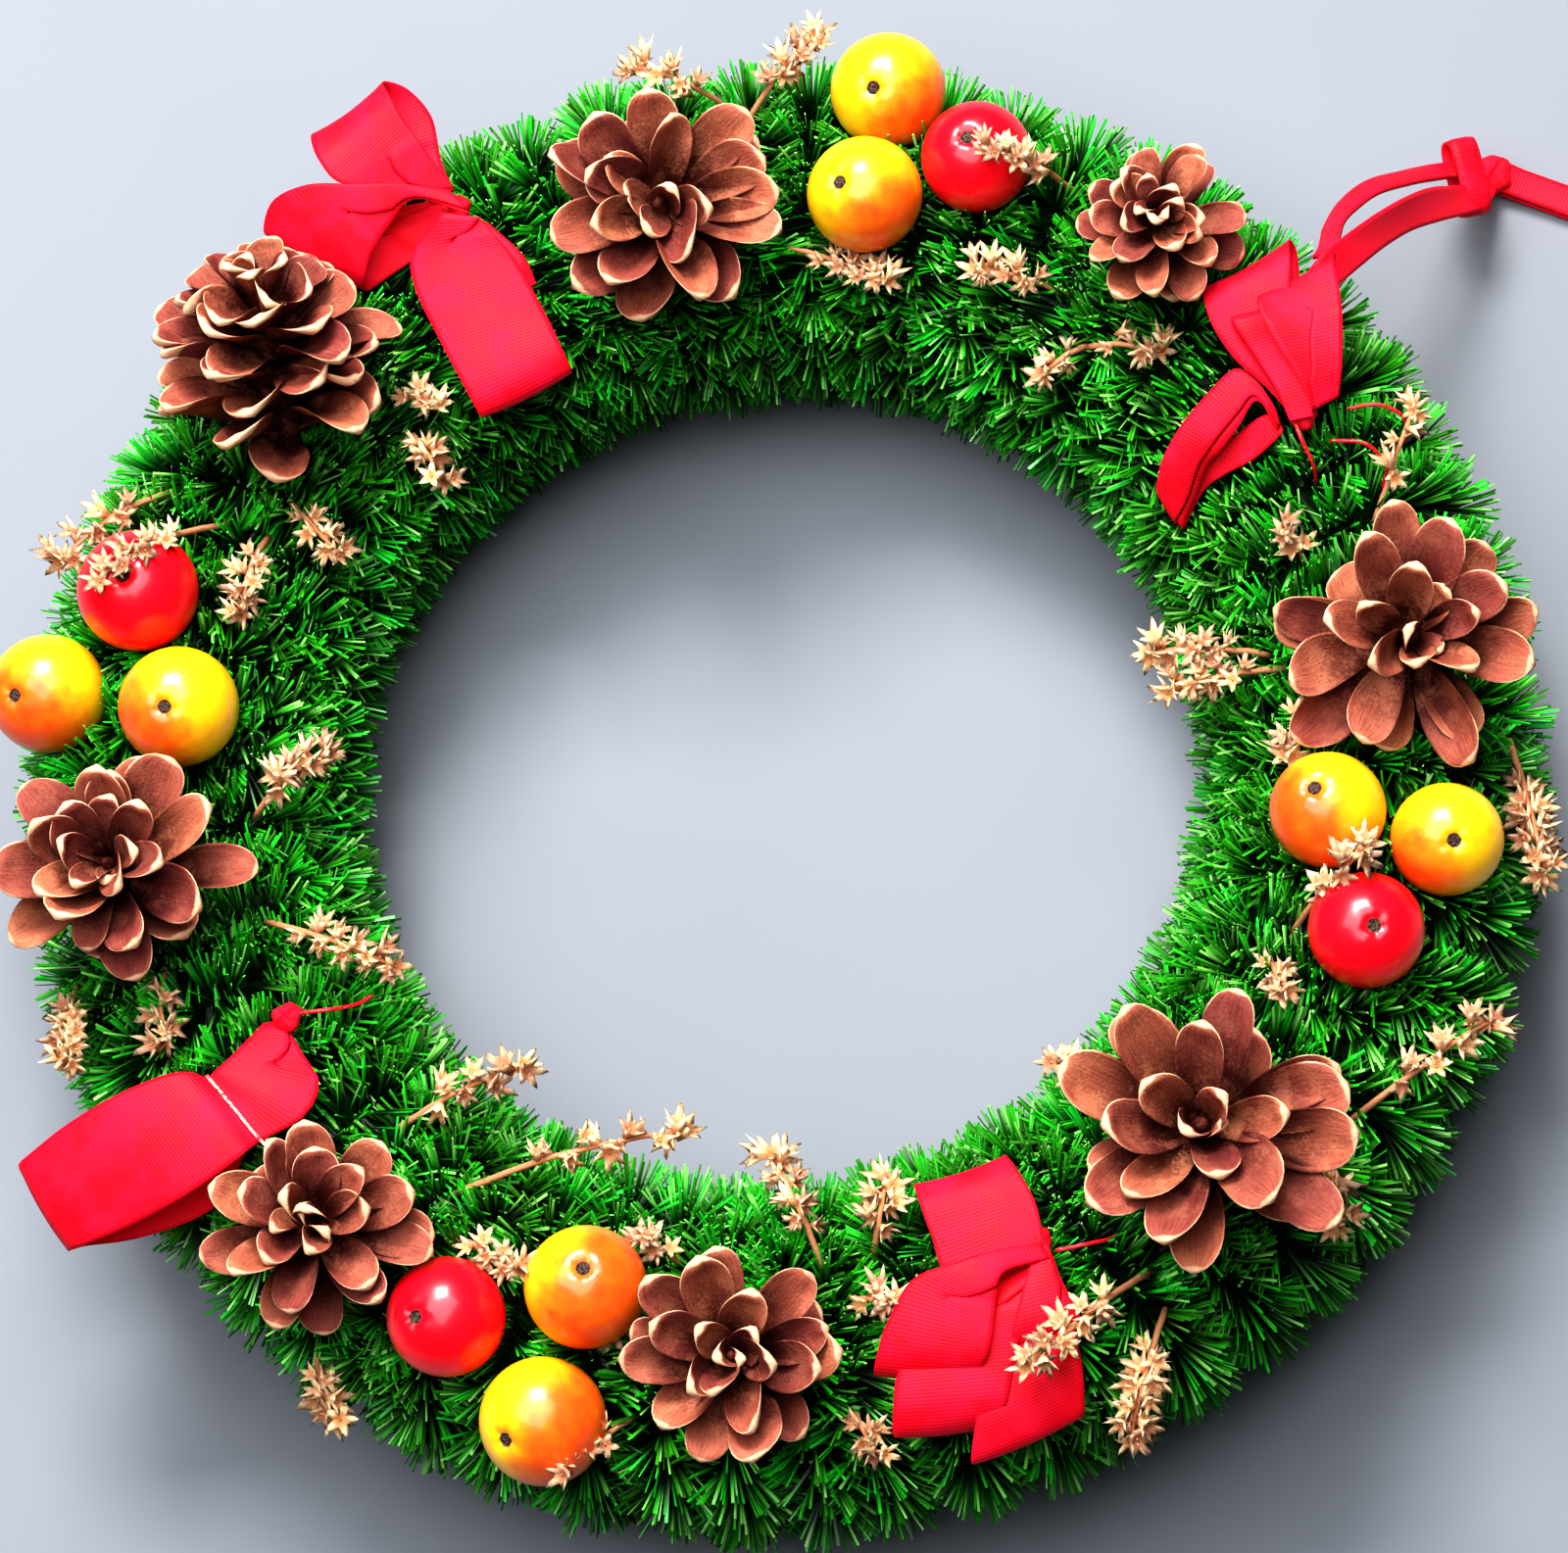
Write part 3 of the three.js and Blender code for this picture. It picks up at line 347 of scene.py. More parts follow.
# Sprigs: foot and tip (clock angle, distance, height), arch, florets. The first SOLID_SPRIGS of
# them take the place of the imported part's nodes dried_sprig_1, dried_sprig_2 and so on, the others
# are extra.
SOLID_SPRIGS = 22
SPRIGS = (
    ((309.5, 139, 56), (302, 146, 70), 6, 6),
    ((310, 134, 57), (317, 151, 68), 5, 8),
    ((314.8, 106, 59), (327.5, 98, 66), 2, 8),
    ((341.4, 133, 57), (334.2, 124.5, 82), 6, 7),
    ((346.2, 112, 60), (337, 105, 68), 3, 7),
    ((23.6, 129, 59), (17, 145, 69), 4, 4),
    ((34, 102, 58), (32.3, 79, 64), 4, 8),
    ((43, 147.5, 50), (54.3, 156, 58), 5, 11),
    ((65, 112, 60), (57.5, 122, 80), 4, 6),
    ((77.6, 138.5, 57), (66.5, 154, 66), 5, 7),
    ((98.6, 139, 56), (106, 157, 58), 6, 10),
    ((90, 97.5, 53), (91.8, 88, 58), 4, 4),
    ((125.6, 109, 60), (130.8, 86, 66), 5, 8),
    ((120.5, 107, 60), (117, 94, 63), 4, 6),
    ((165.6, 110, 60), (142, 82, 66), 9, 8),
    ((174.8, 106, 60), (167, 82, 65), 5, 7),
    ((202.6, 106, 59), (190.3, 86.5, 64), 6, 9),
    ((214.8, 104, 58), (221.6, 87.5, 62), 6, 8),
    ((204, 147, 52), (197.8, 152, 59), 4, 8),
    ((246.6, 112, 60), (237, 108.5, 68), 5, 7),
    ((248, 135, 56), (237.6, 148, 68), 5, 7),
    ((265.4, 101, 56), (263.4, 88, 59), 4, 6),
    ((351, 105, 59), (349.2, 94, 62), 2, 4),
    ((351.4, 105, 60), (358.4, 112, 64), 2, 4),
    ((36, 104, 59), (37.8, 80, 62), 3, 8),
    ((25.4, 113, 62), (22.8, 110, 69), 1, 3),
    ((39.6, 107, 60), (46.4, 103.5, 66), 2, 4),
    ((68, 109, 60), (72, 116, 70), 2, 4),
    ((97.9, 132, 60), (110.6, 138.6, 76), 6, 9),
    ((80.6, 139, 57), (84.8, 150, 60), 3, 5),
    ((140.8, 107, 60), (143.8, 104, 68), 1, 4),
    ((143.4, 124, 60), (146, 121, 70), 1, 3),
    ((123.4, 115, 62), (119, 119.4, 72), 2, 4),
    ((124.8, 136, 57), (123.9, 145.4, 62), 2, 4),
    ((163.4, 117, 62), (155, 118.4, 72), 3, 6),
    ((168.4, 150, 50), (164.4, 158, 54), 3, 6),
    ((201.6, 127.6, 61), (194.6, 132.4, 66), 2, 5),
    ((246, 120, 62), (234.6, 135, 84), 6, 8),
    ((251, 111, 60), (248, 96, 62), 3, 6),
    ((267.2, 107, 60), (269.6, 98.6, 65), 2, 4),
    ((142.8, 138, 57), (146.4, 150.6, 68), 3, 4),
)

# Thin red tie wires at the bows, by the points of each
TIE_WIRES = (
    ((-21.5, -109.5, 67.5), (-18.6, -105.4, 70), (-14.6, -100.2, 70.5), (-12.8, -95.6, 67),
     (-13.6, -92, 62)),
    ((27, 119.8, 70), (31.4, 117.6, 70.5), (36.2, 116.4, 67), (38, 115.6, 62)),
    ((32.4, 129.6, 67), (36.6, 134.4, 68), (41.5, 136.4, 66), (43.8, 134.6, 61)),
    ((35, 122.4, 67), (40.6, 126.4, 68.5), (46, 127, 65), (47.6, 124.6, 60)),
    ((-117.6, 28.6, 66), (-112.6, 30.2, 69), (-107.6, 29.4, 68), (-105.2, 30.4, 63)),
    ((117, -29.4, 69), (120, -24.6, 69.5), (121.6, -20.6, 66), (121.4, -18, 61)),
)

# A pale thread stitched over the crease of the lower left bow
CREASE_THREAD = ((-20.2, -126.3, 73.5), (-15.1, -126.4, 73.7), (-10, -126.6, 73.5),
                 (-5.9, -126.8, 73), (-2, -126.8, 72.2))


# Places and directions

def at(clock, distance, height):
    """Points by clock angle, distance and height: x = distance * sin, y = distance * cos, and z is
    the height."""
    turn = np.radians(clock)
    parts = np.broadcast_arrays(distance * np.sin(turn), distance * np.cos(turn), height)
    return np.stack(parts, -1)


def leaning(tilt, clock):
    """A direction tilted from straight up towards a clock angle."""
    return at(clock, np.sin(np.radians(tilt)), np.cos(np.radians(tilt)))


def unit(v):
    """Each vector divided by its length."""
    return v / np.maximum(np.linalg.norm(v, axis=-1, keepdims=True), 1e-9)


def blend(a, b, share):
    """a at share 0, b at share 1, in a straight line."""
    return a + (b - a) * share


def ease(x, low, high):
    """0 below low, 1 above high, and the S-curve 3t^2 - 2t^3 between."""
    t = np.clip((x - low) / (high - low), 0, 1)
    return t * t * (3 - 2 * t)


def standing(points, foot, direction):
    """Points modelled along +Z, turned the short way so that +Z meets the direction, and moved to
    the foot."""
    turn = np.array(Vector((0, 0, 1)).rotation_difference(Vector(direction)).to_matrix())
    return points @ turn.T + foot


def smooth_line(knots, count):
    """Catmull-Rom curve through the knots, sampled at count points that are evenly spaced along it,
    and the distance run at each. Where a knot is two edges of a ribbon, the middle between them is
    measured."""
    knots = np.asarray(knots, float)
    padded = np.vstack([2 * knots[0] - knots[1], knots, 2 * knots[-1] - knots[-2]])
    t = np.linspace(0, len(knots) - 1 - 1e-9, 24 * len(knots))
    i = t.astype(int)
    f = (t - i)[:, None]
    a, b, c, d = (padded[i + k] for k in range(4))
    line = 0.5 * (2 * b + (c - a) * f + (2 * a - 5 * b + 4 * c - d) * f**2
                  + (3 * b - a - 3 * c + d) * f**3)
    middle = line if line.shape[1] == 3 else (line[:, :3] + line[:, 3:6]) / 2
    run = np.concatenate([[0], np.cumsum(np.linalg.norm(np.diff(middle, axis=0), axis=1))])
    even = np.linspace(0, run[-1], count)
    return np.stack([np.interp(even, run, column) for column in line.T], -1), even


# Shapes

class Shape:
    """Points in millimetres, arrays of faces by their number of corners, and named values on the
    points."""

    def __init__(self, points, faces, **marks):
        self.points = np.asarray(points, float).reshape(-1, 3)
        self.faces = [np.asarray(f, int) for f in faces if len(f)]
        self.marks = {name: np.asarray(v, float) for name, v in marks.items()}


def joined(shapes):
    """One shape of several that carry the same marks."""
    start, by_size = 0, {}
    for shape in shapes:
        for f in shape.faces:
            by_size.setdefault(f.shape[1], []).append(f + start)
        start += len(shape.points)
    marks = {m: np.concatenate([s.marks[m] for s in shapes]) for m in shapes[0].marks}
    return Shape(np.concatenate([s.points for s in shapes]),
                 [np.concatenate(f) for f in by_size.values()],
                 **marks)


def outward(shape):
    """The shape with its faces turned round if they enclose a negative volume, which has the sign
    of the sum of p0 . (p1 x p2) over its triangles."""
    volume = 0.0
    middle = shape.points.mean(0)
    for f in shape.faces:
        p = shape.points[f] - middle
        for i in range(1, f.shape[1] - 1):
            volume += np.einsum("ij,ij->", p[:, 0], np.cross(p[:, i], p[:, i + 1]))
    if volume < 0:
        shape.faces = [f[:, ::-1] for f in shape.faces]
    return shape


def lofts(rings, closed=False, **marks):
    """rings[s, i, j] is point j of ring i of body s. Quads join each ring to the next and a flat
    face closes each end, or, where closed, the last ring joins the first."""
    s, n, k, _ = rings.shape
    index = np.arange(s * n * k).reshape(s, n, k)
    here, beyond = (index, np.roll(index, -1, 1)) if closed else (index[:, :-1], index[:, 1:])
    quads = np.stack([here, np.roll(here, -1, 2), np.roll(beyond, -1, 2), beyond], -1)
    ends = [] if closed else [np.concatenate([index[:, 0, ::-1], index[:, -1]])]
    return outward(Shape(rings.reshape(-1, 3), [quads.reshape(-1, 4), *ends], **marks))


def tube(points, radius, sides=6, **marks):
    """Circles of the given radius, one number or one per point, set square to a line of points.
    They start square to a slanting direction as well, one that no line here runs along."""
    points = np.asarray(points, float)
    along = unit(np.gradient(points, axis=0))
    across = unit(np.cross(along, [0.31, 0.2, 0.93]))
    up = np.cross(along, across)
    turn = np.linspace(0, 2 * np.pi, sides, endpoint=False)
    circle = across[:, None] * np.cos(turn)[:, None] + up[:, None] * np.sin(turn)[:, None]
    rings = points[:, None] + circle * np.broadcast_to(radius, len(points))[:, None, None]
    return lofts(rings[None], **{m: np.full(len(points) * sides, v) for m, v in marks.items()})


def ball(reach, polar, turn):
    """Points at a distance from the middle, by their angle from +Z and their turn round it."""
    x, y = reach * np.sin(polar) * np.cos(turn), reach * np.sin(polar) * np.sin(turn)
    return np.stack(np.broadcast_arrays(x, y, reach * np.cos(polar)), -1)


def pleat(width, at_share):
    """How a ribbon much wider than its track is folded: for each station the share across, the
    drop, the turn of its skin and the distance walked along it. It runs forward to a fold, back
    under itself and forward again, the part between the folds being half of the spare width. Where
    nothing is spare it lies flat, evenly spaced."""
    loose = RIBBON_WIDTH - width
    spare = np.clip(loose / 2 * ease(loose, PLEAT_FROM, PLEAT_FULL), 0.02, 0.8 * width)
    first = np.clip(at_share * width + spare / 2, spare, width)
    second = first - spare
    last = (width - second) * (1 - LAYER_CUTS[::-1])
    across = np.hstack([first * LAYER_CUTS, first, first - spare * FOLD_CUTS, second,
                        second + last])
    walked = np.hstack([first * LAYER_CUTS, first, first + spare * FOLD_CUTS, first + spare,
                        first + spare + last])
    parts = (len(LAYER_CUTS), 1, len(FOLD_CUTS), 1, len(LAYER_CUTS))
    turned = np.minimum(spare / PLEAT_TURN, 1)
    drop = PLEAT_DROP * turned * np.repeat((0, 0.5, 1, 1.5, 2), parts)
    skin = np.pi * turned * np.repeat((0, 0.5, 1, 0.5, 0), parts)
    folded = ease(spare, 0.1, 1.2)
    even = np.linspace(0, 1, across.shape[1]) * width
    return (blend(even, across, folded) / width, drop * folded, skin * folded,
            blend(even, walked, folded))


def band(stations, count, thickness, crown, pleat_at=None):
    """A ribbon between two edge curves. Across, it is raised by crown * (1 - (2u - 1)^2). Given the
    share where its pleat is, it lies folded where the track is narrower than the ribbon, with less
    crown. The skin lies half the thickness to each side of that surface. The mark uv is (distance
    across, distance along) in metres."""
    line, run = smooth_line(stations, count)
    left, right = line[:, None, :3], line[:, None, 3:]
    width = np.linalg.norm(right - left, axis=-1)
    if pleat_at is None:
        u = np.linspace(0, 1, 9)[None, :] + 0 * width
        drop, skin, walked = 0 * u, 0 * u, u * width
    else:
        u, drop, skin, walked = pleat(width, pleat_at)
        crown = crown * np.clip(width / RIBBON_WIDTH, 0, 1)
    along = np.gradient((left + right) / 2, axis=0)
    normal = unit(np.cross(along, right - left))
    across = unit(right - left)
    raised = crown * (1 - (2 * u - 1) ** 2) - drop
    grid = left + (right - left) * u[..., None] + normal * raised[..., None]
    face = normal * np.cos(skin)[..., None] + across * np.sin(skin)[..., None]
    half = face * thickness / 2
    rings = np.concatenate([grid + half, (grid - half)[:, ::-1]], 1)
    side = np.concatenate([walked, walked[:, ::-1]], 1) * MM
    uv = np.stack([side, np.broadcast_to(run[:, None] * MM, side.shape)], -1)
    return lofts(rings[None], uv=uv.reshape(-1, 2))


def piece(name, shape, material, nodes=(), smooth=True):
    """Puts a shape into the scene in metres, with its marks as attributes, riding on the wreath."""
    mesh = bpy.data.meshes.new(name)
    corners = np.concatenate([f.ravel() for f in shape.faces])
    sizes = np.concatenate([np.full(len(f), f.shape[1]) for f in shape.faces])
    mesh.vertices.add(len(shape.points))
    mesh.vertices.foreach_set("co", ((shape.points + CENTRE) * MM).ravel())
    mesh.loops.add(len(corners))
    mesh.loops.foreach_set("vertex_index", corners)
    mesh.polygons.add(len(sizes))
    mesh.polygons.foreach_set("loop_start", np.concatenate([[0], np.cumsum(sizes)[:-1]]))
    mesh.update(calc_edges=True)
    mesh.polygons.foreach_set("use_smooth", np.full(len(sizes), smooth))
    for mark, values in shape.marks.items():
        if mark == "uv":
            mesh.uv_layers.new(name="uv").data.foreach_set("uv", values[corners].ravel())
        else:
            mesh.attributes.new(mark, "FLOAT", "POINT").data.foreach_set("value", values)
    mesh.validate()
    mesh.materials.append(material)
    made = bpy.data.objects.new(name, mesh)
    bpy.context.scene.collection.objects.link(made)
    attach(made, "root")
    if nodes:
        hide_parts(*nodes)
    return made


# Finishes

class Graph:
    """Adds nodes to a node tree and links them. Most methods return the socket to go on from."""

    def __init__(self, tree):
        self.tree = tree

    def plug(self, socket, value):
        """Links the socket to another one, or sets its value. A colour may be red, green and blue
        only."""
        if isinstance(value, bpy.types.NodeSocket):
            self.tree.links.new(value, socket)
        elif socket.type == "RGBA" and len(value) == 3:
            socket.default_value = (*value, 1.0)
        else:
            socket.default_value = value

    def add(self, kind, settings=None, **inputs):
        """A node with its settings and its inputs by name, with _ for a space."""
        made = self.tree.nodes.new(kind)
        for name, value in (settings or {}).items():
            setattr(made, name, value)
        for name, value in inputs.items():
            self.plug(made.inputs[name.replace("_", " ")], value)
        return made

    def math(self, operation, *values):
        """The operation on one value after the other; MULTIPLY_ADD is first * second + third."""
        made = self.add("ShaderNodeMath", {"operation": operation})
        for socket, value in zip(made.inputs, values):
            self.plug(socket, value)
        return made.outputs[0]

    def times(self, a, b):
        """a multiplied by b."""
        return self.math("MULTIPLY", a, b)

    def mix(self, share, a, b, way="MIX"):
        """Colour a at share 0 and b at share 1, or a multiplied by b."""
        made = self.add("ShaderNodeMix", {"data_type": "RGBA", "blend_type": way})
        for socket, value in zip((made.inputs[0], made.inputs[6], made.inputs[7]), (share, a, b)):
            self.plug(socket, value)
        return made.outputs[2]

    def spread(self, value, low, high, to_low=0.0, to_high=1.0):
        """to_low where the value is low or less, to_high where it is high or more, an S-curve
        between."""
        made = self.add("ShaderNodeMapRange", {"interpolation_type": "SMOOTHSTEP"}, Value=value,
                        From_Min=low, From_Max=high, To_Min=to_low, To_Max=to_high)
        return made.outputs[0]

    def noise(self, scale, detail=3.0, vector=None, stretch=None):
        """Cloudy noise from 0 to 1, scale blotches to the metre, on the object's own
        coordinates."""
        vector = vector or self.add("ShaderNodeTexCoord").outputs["Object"]
        if stretch:
            vector = self.add("ShaderNodeMapping", Vector=vector, Scale=stretch).outputs[0]
        return self.add("ShaderNodeTexNoise", Vector=vector, Scale=scale,
                        Detail=detail).outputs["Fac"]

    def mark(self, name):
        """The value of a shape's mark."""
        return self.add("ShaderNodeAttribute", {"attribute_name": name}).outputs["Fac"]

    def uv(self):
        """The shape's mark uv, as a vector."""
        return self.add("ShaderNodeUVMap", {"uv_map": "uv"}).outputs[0]

    def group(self, tree, **inputs):
        """All outputs of a shared node group, by name."""
        return self.add("ShaderNodeGroup", {"node_tree": tree}, **inputs).outputs


def new_group(name, inputs, outputs):
    """A node group with inputs by name and default and outputs by name. A socket called Color is a
    colour, any other a number."""
    tree = bpy.data.node_groups.new(name, "ShaderNodeTree")
    kinds = {"Color": "NodeSocketColor"}
    for socket, default in inputs.items():
        tree.interface.new_socket(
            socket, in_out="INPUT",
            socket_type=kinds.get(socket, "NodeSocketFloat")).default_value = default
    for socket in outputs:
        tree.interface.new_socket(
            socket, in_out="OUTPUT", socket_type=kinds.get(socket, "NodeSocketFloat"))
    start = tree.nodes.new("NodeGroupInput").outputs
    end = tree.nodes.new("NodeGroupOutput").inputs
    return tree, Graph(tree), start, end


def tone_group():
    """Tone Spread: a colour made lighter or darker, and a little warmer, by a value on each
    repeat."""
    tree, g, start, end = new_group(
        "Tone Spread", {"Color": (1, 1, 1, 1), "Tone": 0.5, "Spread": 0.5}, ["Color"])
    off = g.times(g.math("SUBTRACT", start["Tone"], 0.5), start["Spread"])
    made = g.add("ShaderNodeHueSaturation", Color=start["Color"], Value=g.math("ADD", off, 1.0),
                 Hue=g.math("MULTIPLY_ADD", off, 0.03, 0.5))
    g.plug(end["Color"], made.outputs[0])
    return tree


def grain_group():
    """Dry Grain: fine fibres and blotches on dry plant matter, as a mask and a height."""
    tree, g, start, end = new_group(
        "Dry Grain", {"Fibres": 900.0, "Blotches": 160.0}, ["Mask", "Height"])
    where = g.add("ShaderNodeTexCoord").outputs["Object"]
    fine = g.add("ShaderNodeTexNoise", Vector=where, Scale=start["Fibres"], Detail=4.0,
                 Roughness=0.7)
    wide = g.add("ShaderNodeTexNoise", Vector=where, Scale=start["Blotches"], Detail=2.0)
    both = g.math("ADD", g.times(fine.outputs["Fac"], 0.45), g.times(wide.outputs["Fac"], 0.55))
    g.plug(end["Mask"], both)
    g.plug(end["Height"], fine.outputs["Fac"])
    return tree


def weave_group():
    """Ribbed Weave: cross ribs of a grosgrain ribbon, with finer warp threads, from its own UV map
    in metres. Height follows the ribs; Shade darkens the valleys; Edge is 1 along the woven
    selvedge."""
    tree, g, start, end = new_group(
        "Ribbed Weave", {"Ribs": 1000.0, "Warp": 1800.0}, ["Height", "Shade", "Edge"])
    place = g.add("ShaderNodeSeparateXYZ", Vector=g.uv())
    rib, warp = (g.math("SINE", g.times(g.times(place.outputs[axis], start[count]), 2 * math.pi))
                 for axis, count in (("Y", "Ribs"), ("X", "Warp")))
    both = g.math("MULTIPLY_ADD", warp, 0.35, rib)
    from_middle = g.math("ABSOLUTE", g.math("SUBTRACT", place.outputs["X"], RIBBON_WIDTH / 2 * MM))
    g.plug(end["Height"], g.math("MULTIPLY_ADD", both, 0.37, 0.5))
    g.plug(end["Shade"], g.math("MULTIPLY_ADD", both, 0.05, 0.94))
    g.plug(end["Edge"], g.spread(from_middle, 0.0097, 0.0104))
    return tree


def shared(name, build):
    """The named node group, built the first time that it is wanted."""
    return bpy.data.node_groups.get(name) or build()


def finish(name, plain, build, *given):
    """A material with a colour for the plain view, whose Principled shader gets what build returns
    for a graph and the values given: socket name to value."""
    made = bpy.data.materials.new(name)
    made.use_nodes = True
    made.diffuse_color = (*plain, 1)
    g = Graph(made.node_tree)
    shader = made.node_tree.nodes["Principled BSDF"]
    for socket, value in build(g, *given).items():
        g.plug(shader.inputs[socket], value)
    return made


def bump(g, height, distance, strength=1.0):
    """The normal of a surface raised by height times distance, in metres."""
    return g.add("ShaderNodeBump", Height=height, Distance=distance, Strength=strength).outputs[0]


def needle_foil(g, colours):
    """Glossy cut foil: fresh green outside, with painted shade, a near-black green, towards the wire
    and low on the ring, painted glints on some tips, and each needle a tone of its own."""
    along = g.mark("along")
    place = g.add("ShaderNodeSeparateXYZ", Vector=g.add("ShaderNodeTexCoord").outputs["Object"])
    # painted shade: the lower a needle sits on the ring, the darker it is and the fainter its glint
    upper = g.spread(place.outputs["Z"], 0.01, 0.06, 0.13, 1.0)
    # painted shade: each needle darkens from outside towards its root at the wire
    outside = g.spread(g.math("MULTIPLY_ADD", g.noise(45.0, 2.0), 0.3, along), 0.52, 1.1)
    outside = g.times(outside, upper)
    base = g.mix(outside, colours.needle_root_shade, colours.needle_fresh)
    tinted = g.group(shared("Tone Spread", tone_group), Color=base, Tone=g.mark("tone"), Spread=1.5)
    # painted glint: pale tips on some needles, fading lower on the ring
    pale = g.times(g.times(g.spread(along, 0.55, 0.95), g.mark("painted_glint")), upper)
    tips = g.mix(g.times(pale, 0.8), tinted["Color"], colours.needle_glint)
    return {"Base Color": tips, "Roughness": g.spread(g.mark("tone"), 0, 1, 0.4, 0.26),
            "Specular IOR Level": 0.32}


def core_in_shade(g, colours):
    """The wound inside of the garland where needle roots crowd together, coloured as painted shade
    in dark green.
    """
    speck = g.noise(900.0, 4.0)
    base = g.mix(g.spread(speck, 0.35, 0.7), [0.3 * c for c in colours.needle_root_shade],
                 colours.needle_root_shade)
    return {"Base Color": base, "Roughness": g.spread(speck, 0.3, 0.7, 0.85, 0.6),
            "Specular IOR Level": 0.1, "Normal": bump(g, speck, 0.0006)}


def cone_scale(g, colours):
    """Dry cone scale: pinkish brown face with painted shade towards its foot, fine darker lengthwise
    fibres, thick pale lip."""
    place = g.add("ShaderNodeSeparateXYZ", Vector=g.uv())
    along = place.outputs["Y"]
    fibres = g.noise(1.0, 5.0, g.uv(), (38.0, 5.0, 1.0))
    grain = g.group(shared("Dry Grain", grain_group), Fibres=1500.0, Blotches=170.0)
    # painted shade: each scale darkens towards its foot in the cone's middle
    face = g.mix(g.spread(along, 0.34, 1.06), colours.cone_foot_shade_and_fibres, colours.cone_face)
    streaked = g.mix(g.times(g.spread(fibres, 0.42, 0.72), 0.5), face, colours.cone_foot_shade_and_fibres)
    blotchy = g.mix(g.times(g.spread(grain["Mask"], 0.45, 0.62), 0.45), streaked, colours.cone_warm)
    toned = g.group(shared("Tone Spread", tone_group), Color=blotchy, Tone=g.mark("tone"),
                    Spread=0.65)
    lip = g.spread(g.math("MULTIPLY_ADD", grain["Mask"], 0.6, g.mark("rim")), 0.78, 1.25)
    lipped = g.mix(lip, toned["Color"], colours.cone_lip)
    relief = g.math("MULTIPLY_ADD", fibres, 0.6, grain["Height"])
    return {"Base Color": lipped, "Roughness": g.spread(grain["Mask"], 0.3, 0.7, 0.55, 0.78),
            "Specular IOR Level": 0.22, "Normal": bump(g, relief, 0.00025, 0.8)}


def lacquered_apple(g, colours, skin, blush):
    """Lacquered foam apple: cloudy, flecked blush over the skin colour, dark sunk calyx."""
    flecks = g.noise(260.0, 4.0)
    cloud = g.noise(70.0, 3.0)
    reach = g.math("MULTIPLY_ADD", g.math("SUBTRACT", cloud, 0.5), 0.6, g.mark("blush"))
    reach = g.math("MULTIPLY_ADD", g.math("SUBTRACT", flecks, 0.5), 0.6, reach)
    base = g.mix(g.spread(reach, 0.0, 1.15), skin, blush)
    varied = g.mix(g.times(g.spread(flecks, 0.45, 0.75), 0.12), base, colours.apple_red)
    eye = g.spread(g.mark("calyx"), 1.25, 1.6, 1.0, 0.0)
    speck = g.noise(2600.0, 2.0)
    husk = g.mix(g.spread(speck, 0.4, 0.62), (0.012, 0.006, 0.004), (0.11, 0.065, 0.045))
    relief = g.math("ADD", g.times(eye, speck), g.times(flecks, 0.12))
    return {"Base Color": g.mix(eye, varied, husk), "Roughness": g.spread(eye, 0, 1, 0.32, 0.8),
            "Coat Weight": g.spread(eye, 0, 1, 0.35, 0.0), "Coat Roughness": 0.14,
            "Specular IOR Level": 0.35, "Normal": bump(g, relief, 0.0002, 0.5)}


def ribbon_weave(g, colours):
    """Red grosgrain: cross ribs, warp threads, a smooth woven edge, painted pink sheen in patches
    and a soft pink sheen.
    """
    weave = g.group(shared("Ribbed Weave", weave_group), Ribs=1500.0, Warp=2600.0)
    sheen_and_wear = g.noise(140.0, 3.0)
    # painted sheen: cloudy patches of lighter pink; the same noise varies the roughness
    base = g.mix(g.spread(sheen_and_wear, 0.35, 0.7), colours.ribbon, colours.ribbon_sheen_and_thread)
    shade = weave["Shade"]
    grey = g.add("ShaderNodeCombineColor", Red=shade, Green=shade, Blue=shade).outputs[0]
    ribbed = g.mix(1.0, base, grey, "MULTIPLY")
    edged = g.mix(g.times(weave["Edge"], 0.5), ribbed, colours.ribbon)
    return {"Base Color": edged, "Roughness": g.spread(sheen_and_wear, 0.3, 0.7, 0.5, 0.62),
            "Sheen Weight": 0.08, "Sheen Roughness": 0.4, "Sheen Tint": (1.0, 0.1, 0.25),
            "Specular IOR Level": 0.18, "Normal": bump(g, weave["Height"], 0.00006, 0.8)}


def dried_flower(g, colours):
    """Dried sprig: orange-tan twig, brown floret centre, cream petal tips."""
    grain = g.group(shared("Dry Grain", grain_group), Fibres=2200.0, Blotches=300.0)
    part = g.mark("part")
    petal = g.mix(g.spread(part, 0.3, 0.85), colours.floret_heart, colours.floret_tip)
    base = g.mix(g.spread(part, 0.02, 0.12), colours.twig, petal)
    dusty = g.mix(g.times(g.spread(grain["Mask"], 0.45, 0.65), 0.35), base, colours.floret_heart)
    toned = g.group(shared("Tone Spread", tone_group), Color=dusty, Tone=g.mark("tone"), Spread=0.7)
    return {"Base Color": toned["Color"], "Roughness": 0.75,
            "Normal": bump(g, grain["Height"], 0.0003)}


def tie_wire(g, colours):
    """Thin red lacquered wire, a little scuffed."""
    scuff = g.noise(1800.0, 3.0)
    base = g.mix(g.spread(scuff, 0.55, 0.75), colours.ribbon, (0.5, 0.2, 0.12))
    return {"Base Color": base, "Roughness": g.spread(scuff, 0.4, 0.7, 0.3, 0.55),
            "Normal": bump(g, scuff, 0.0001)}


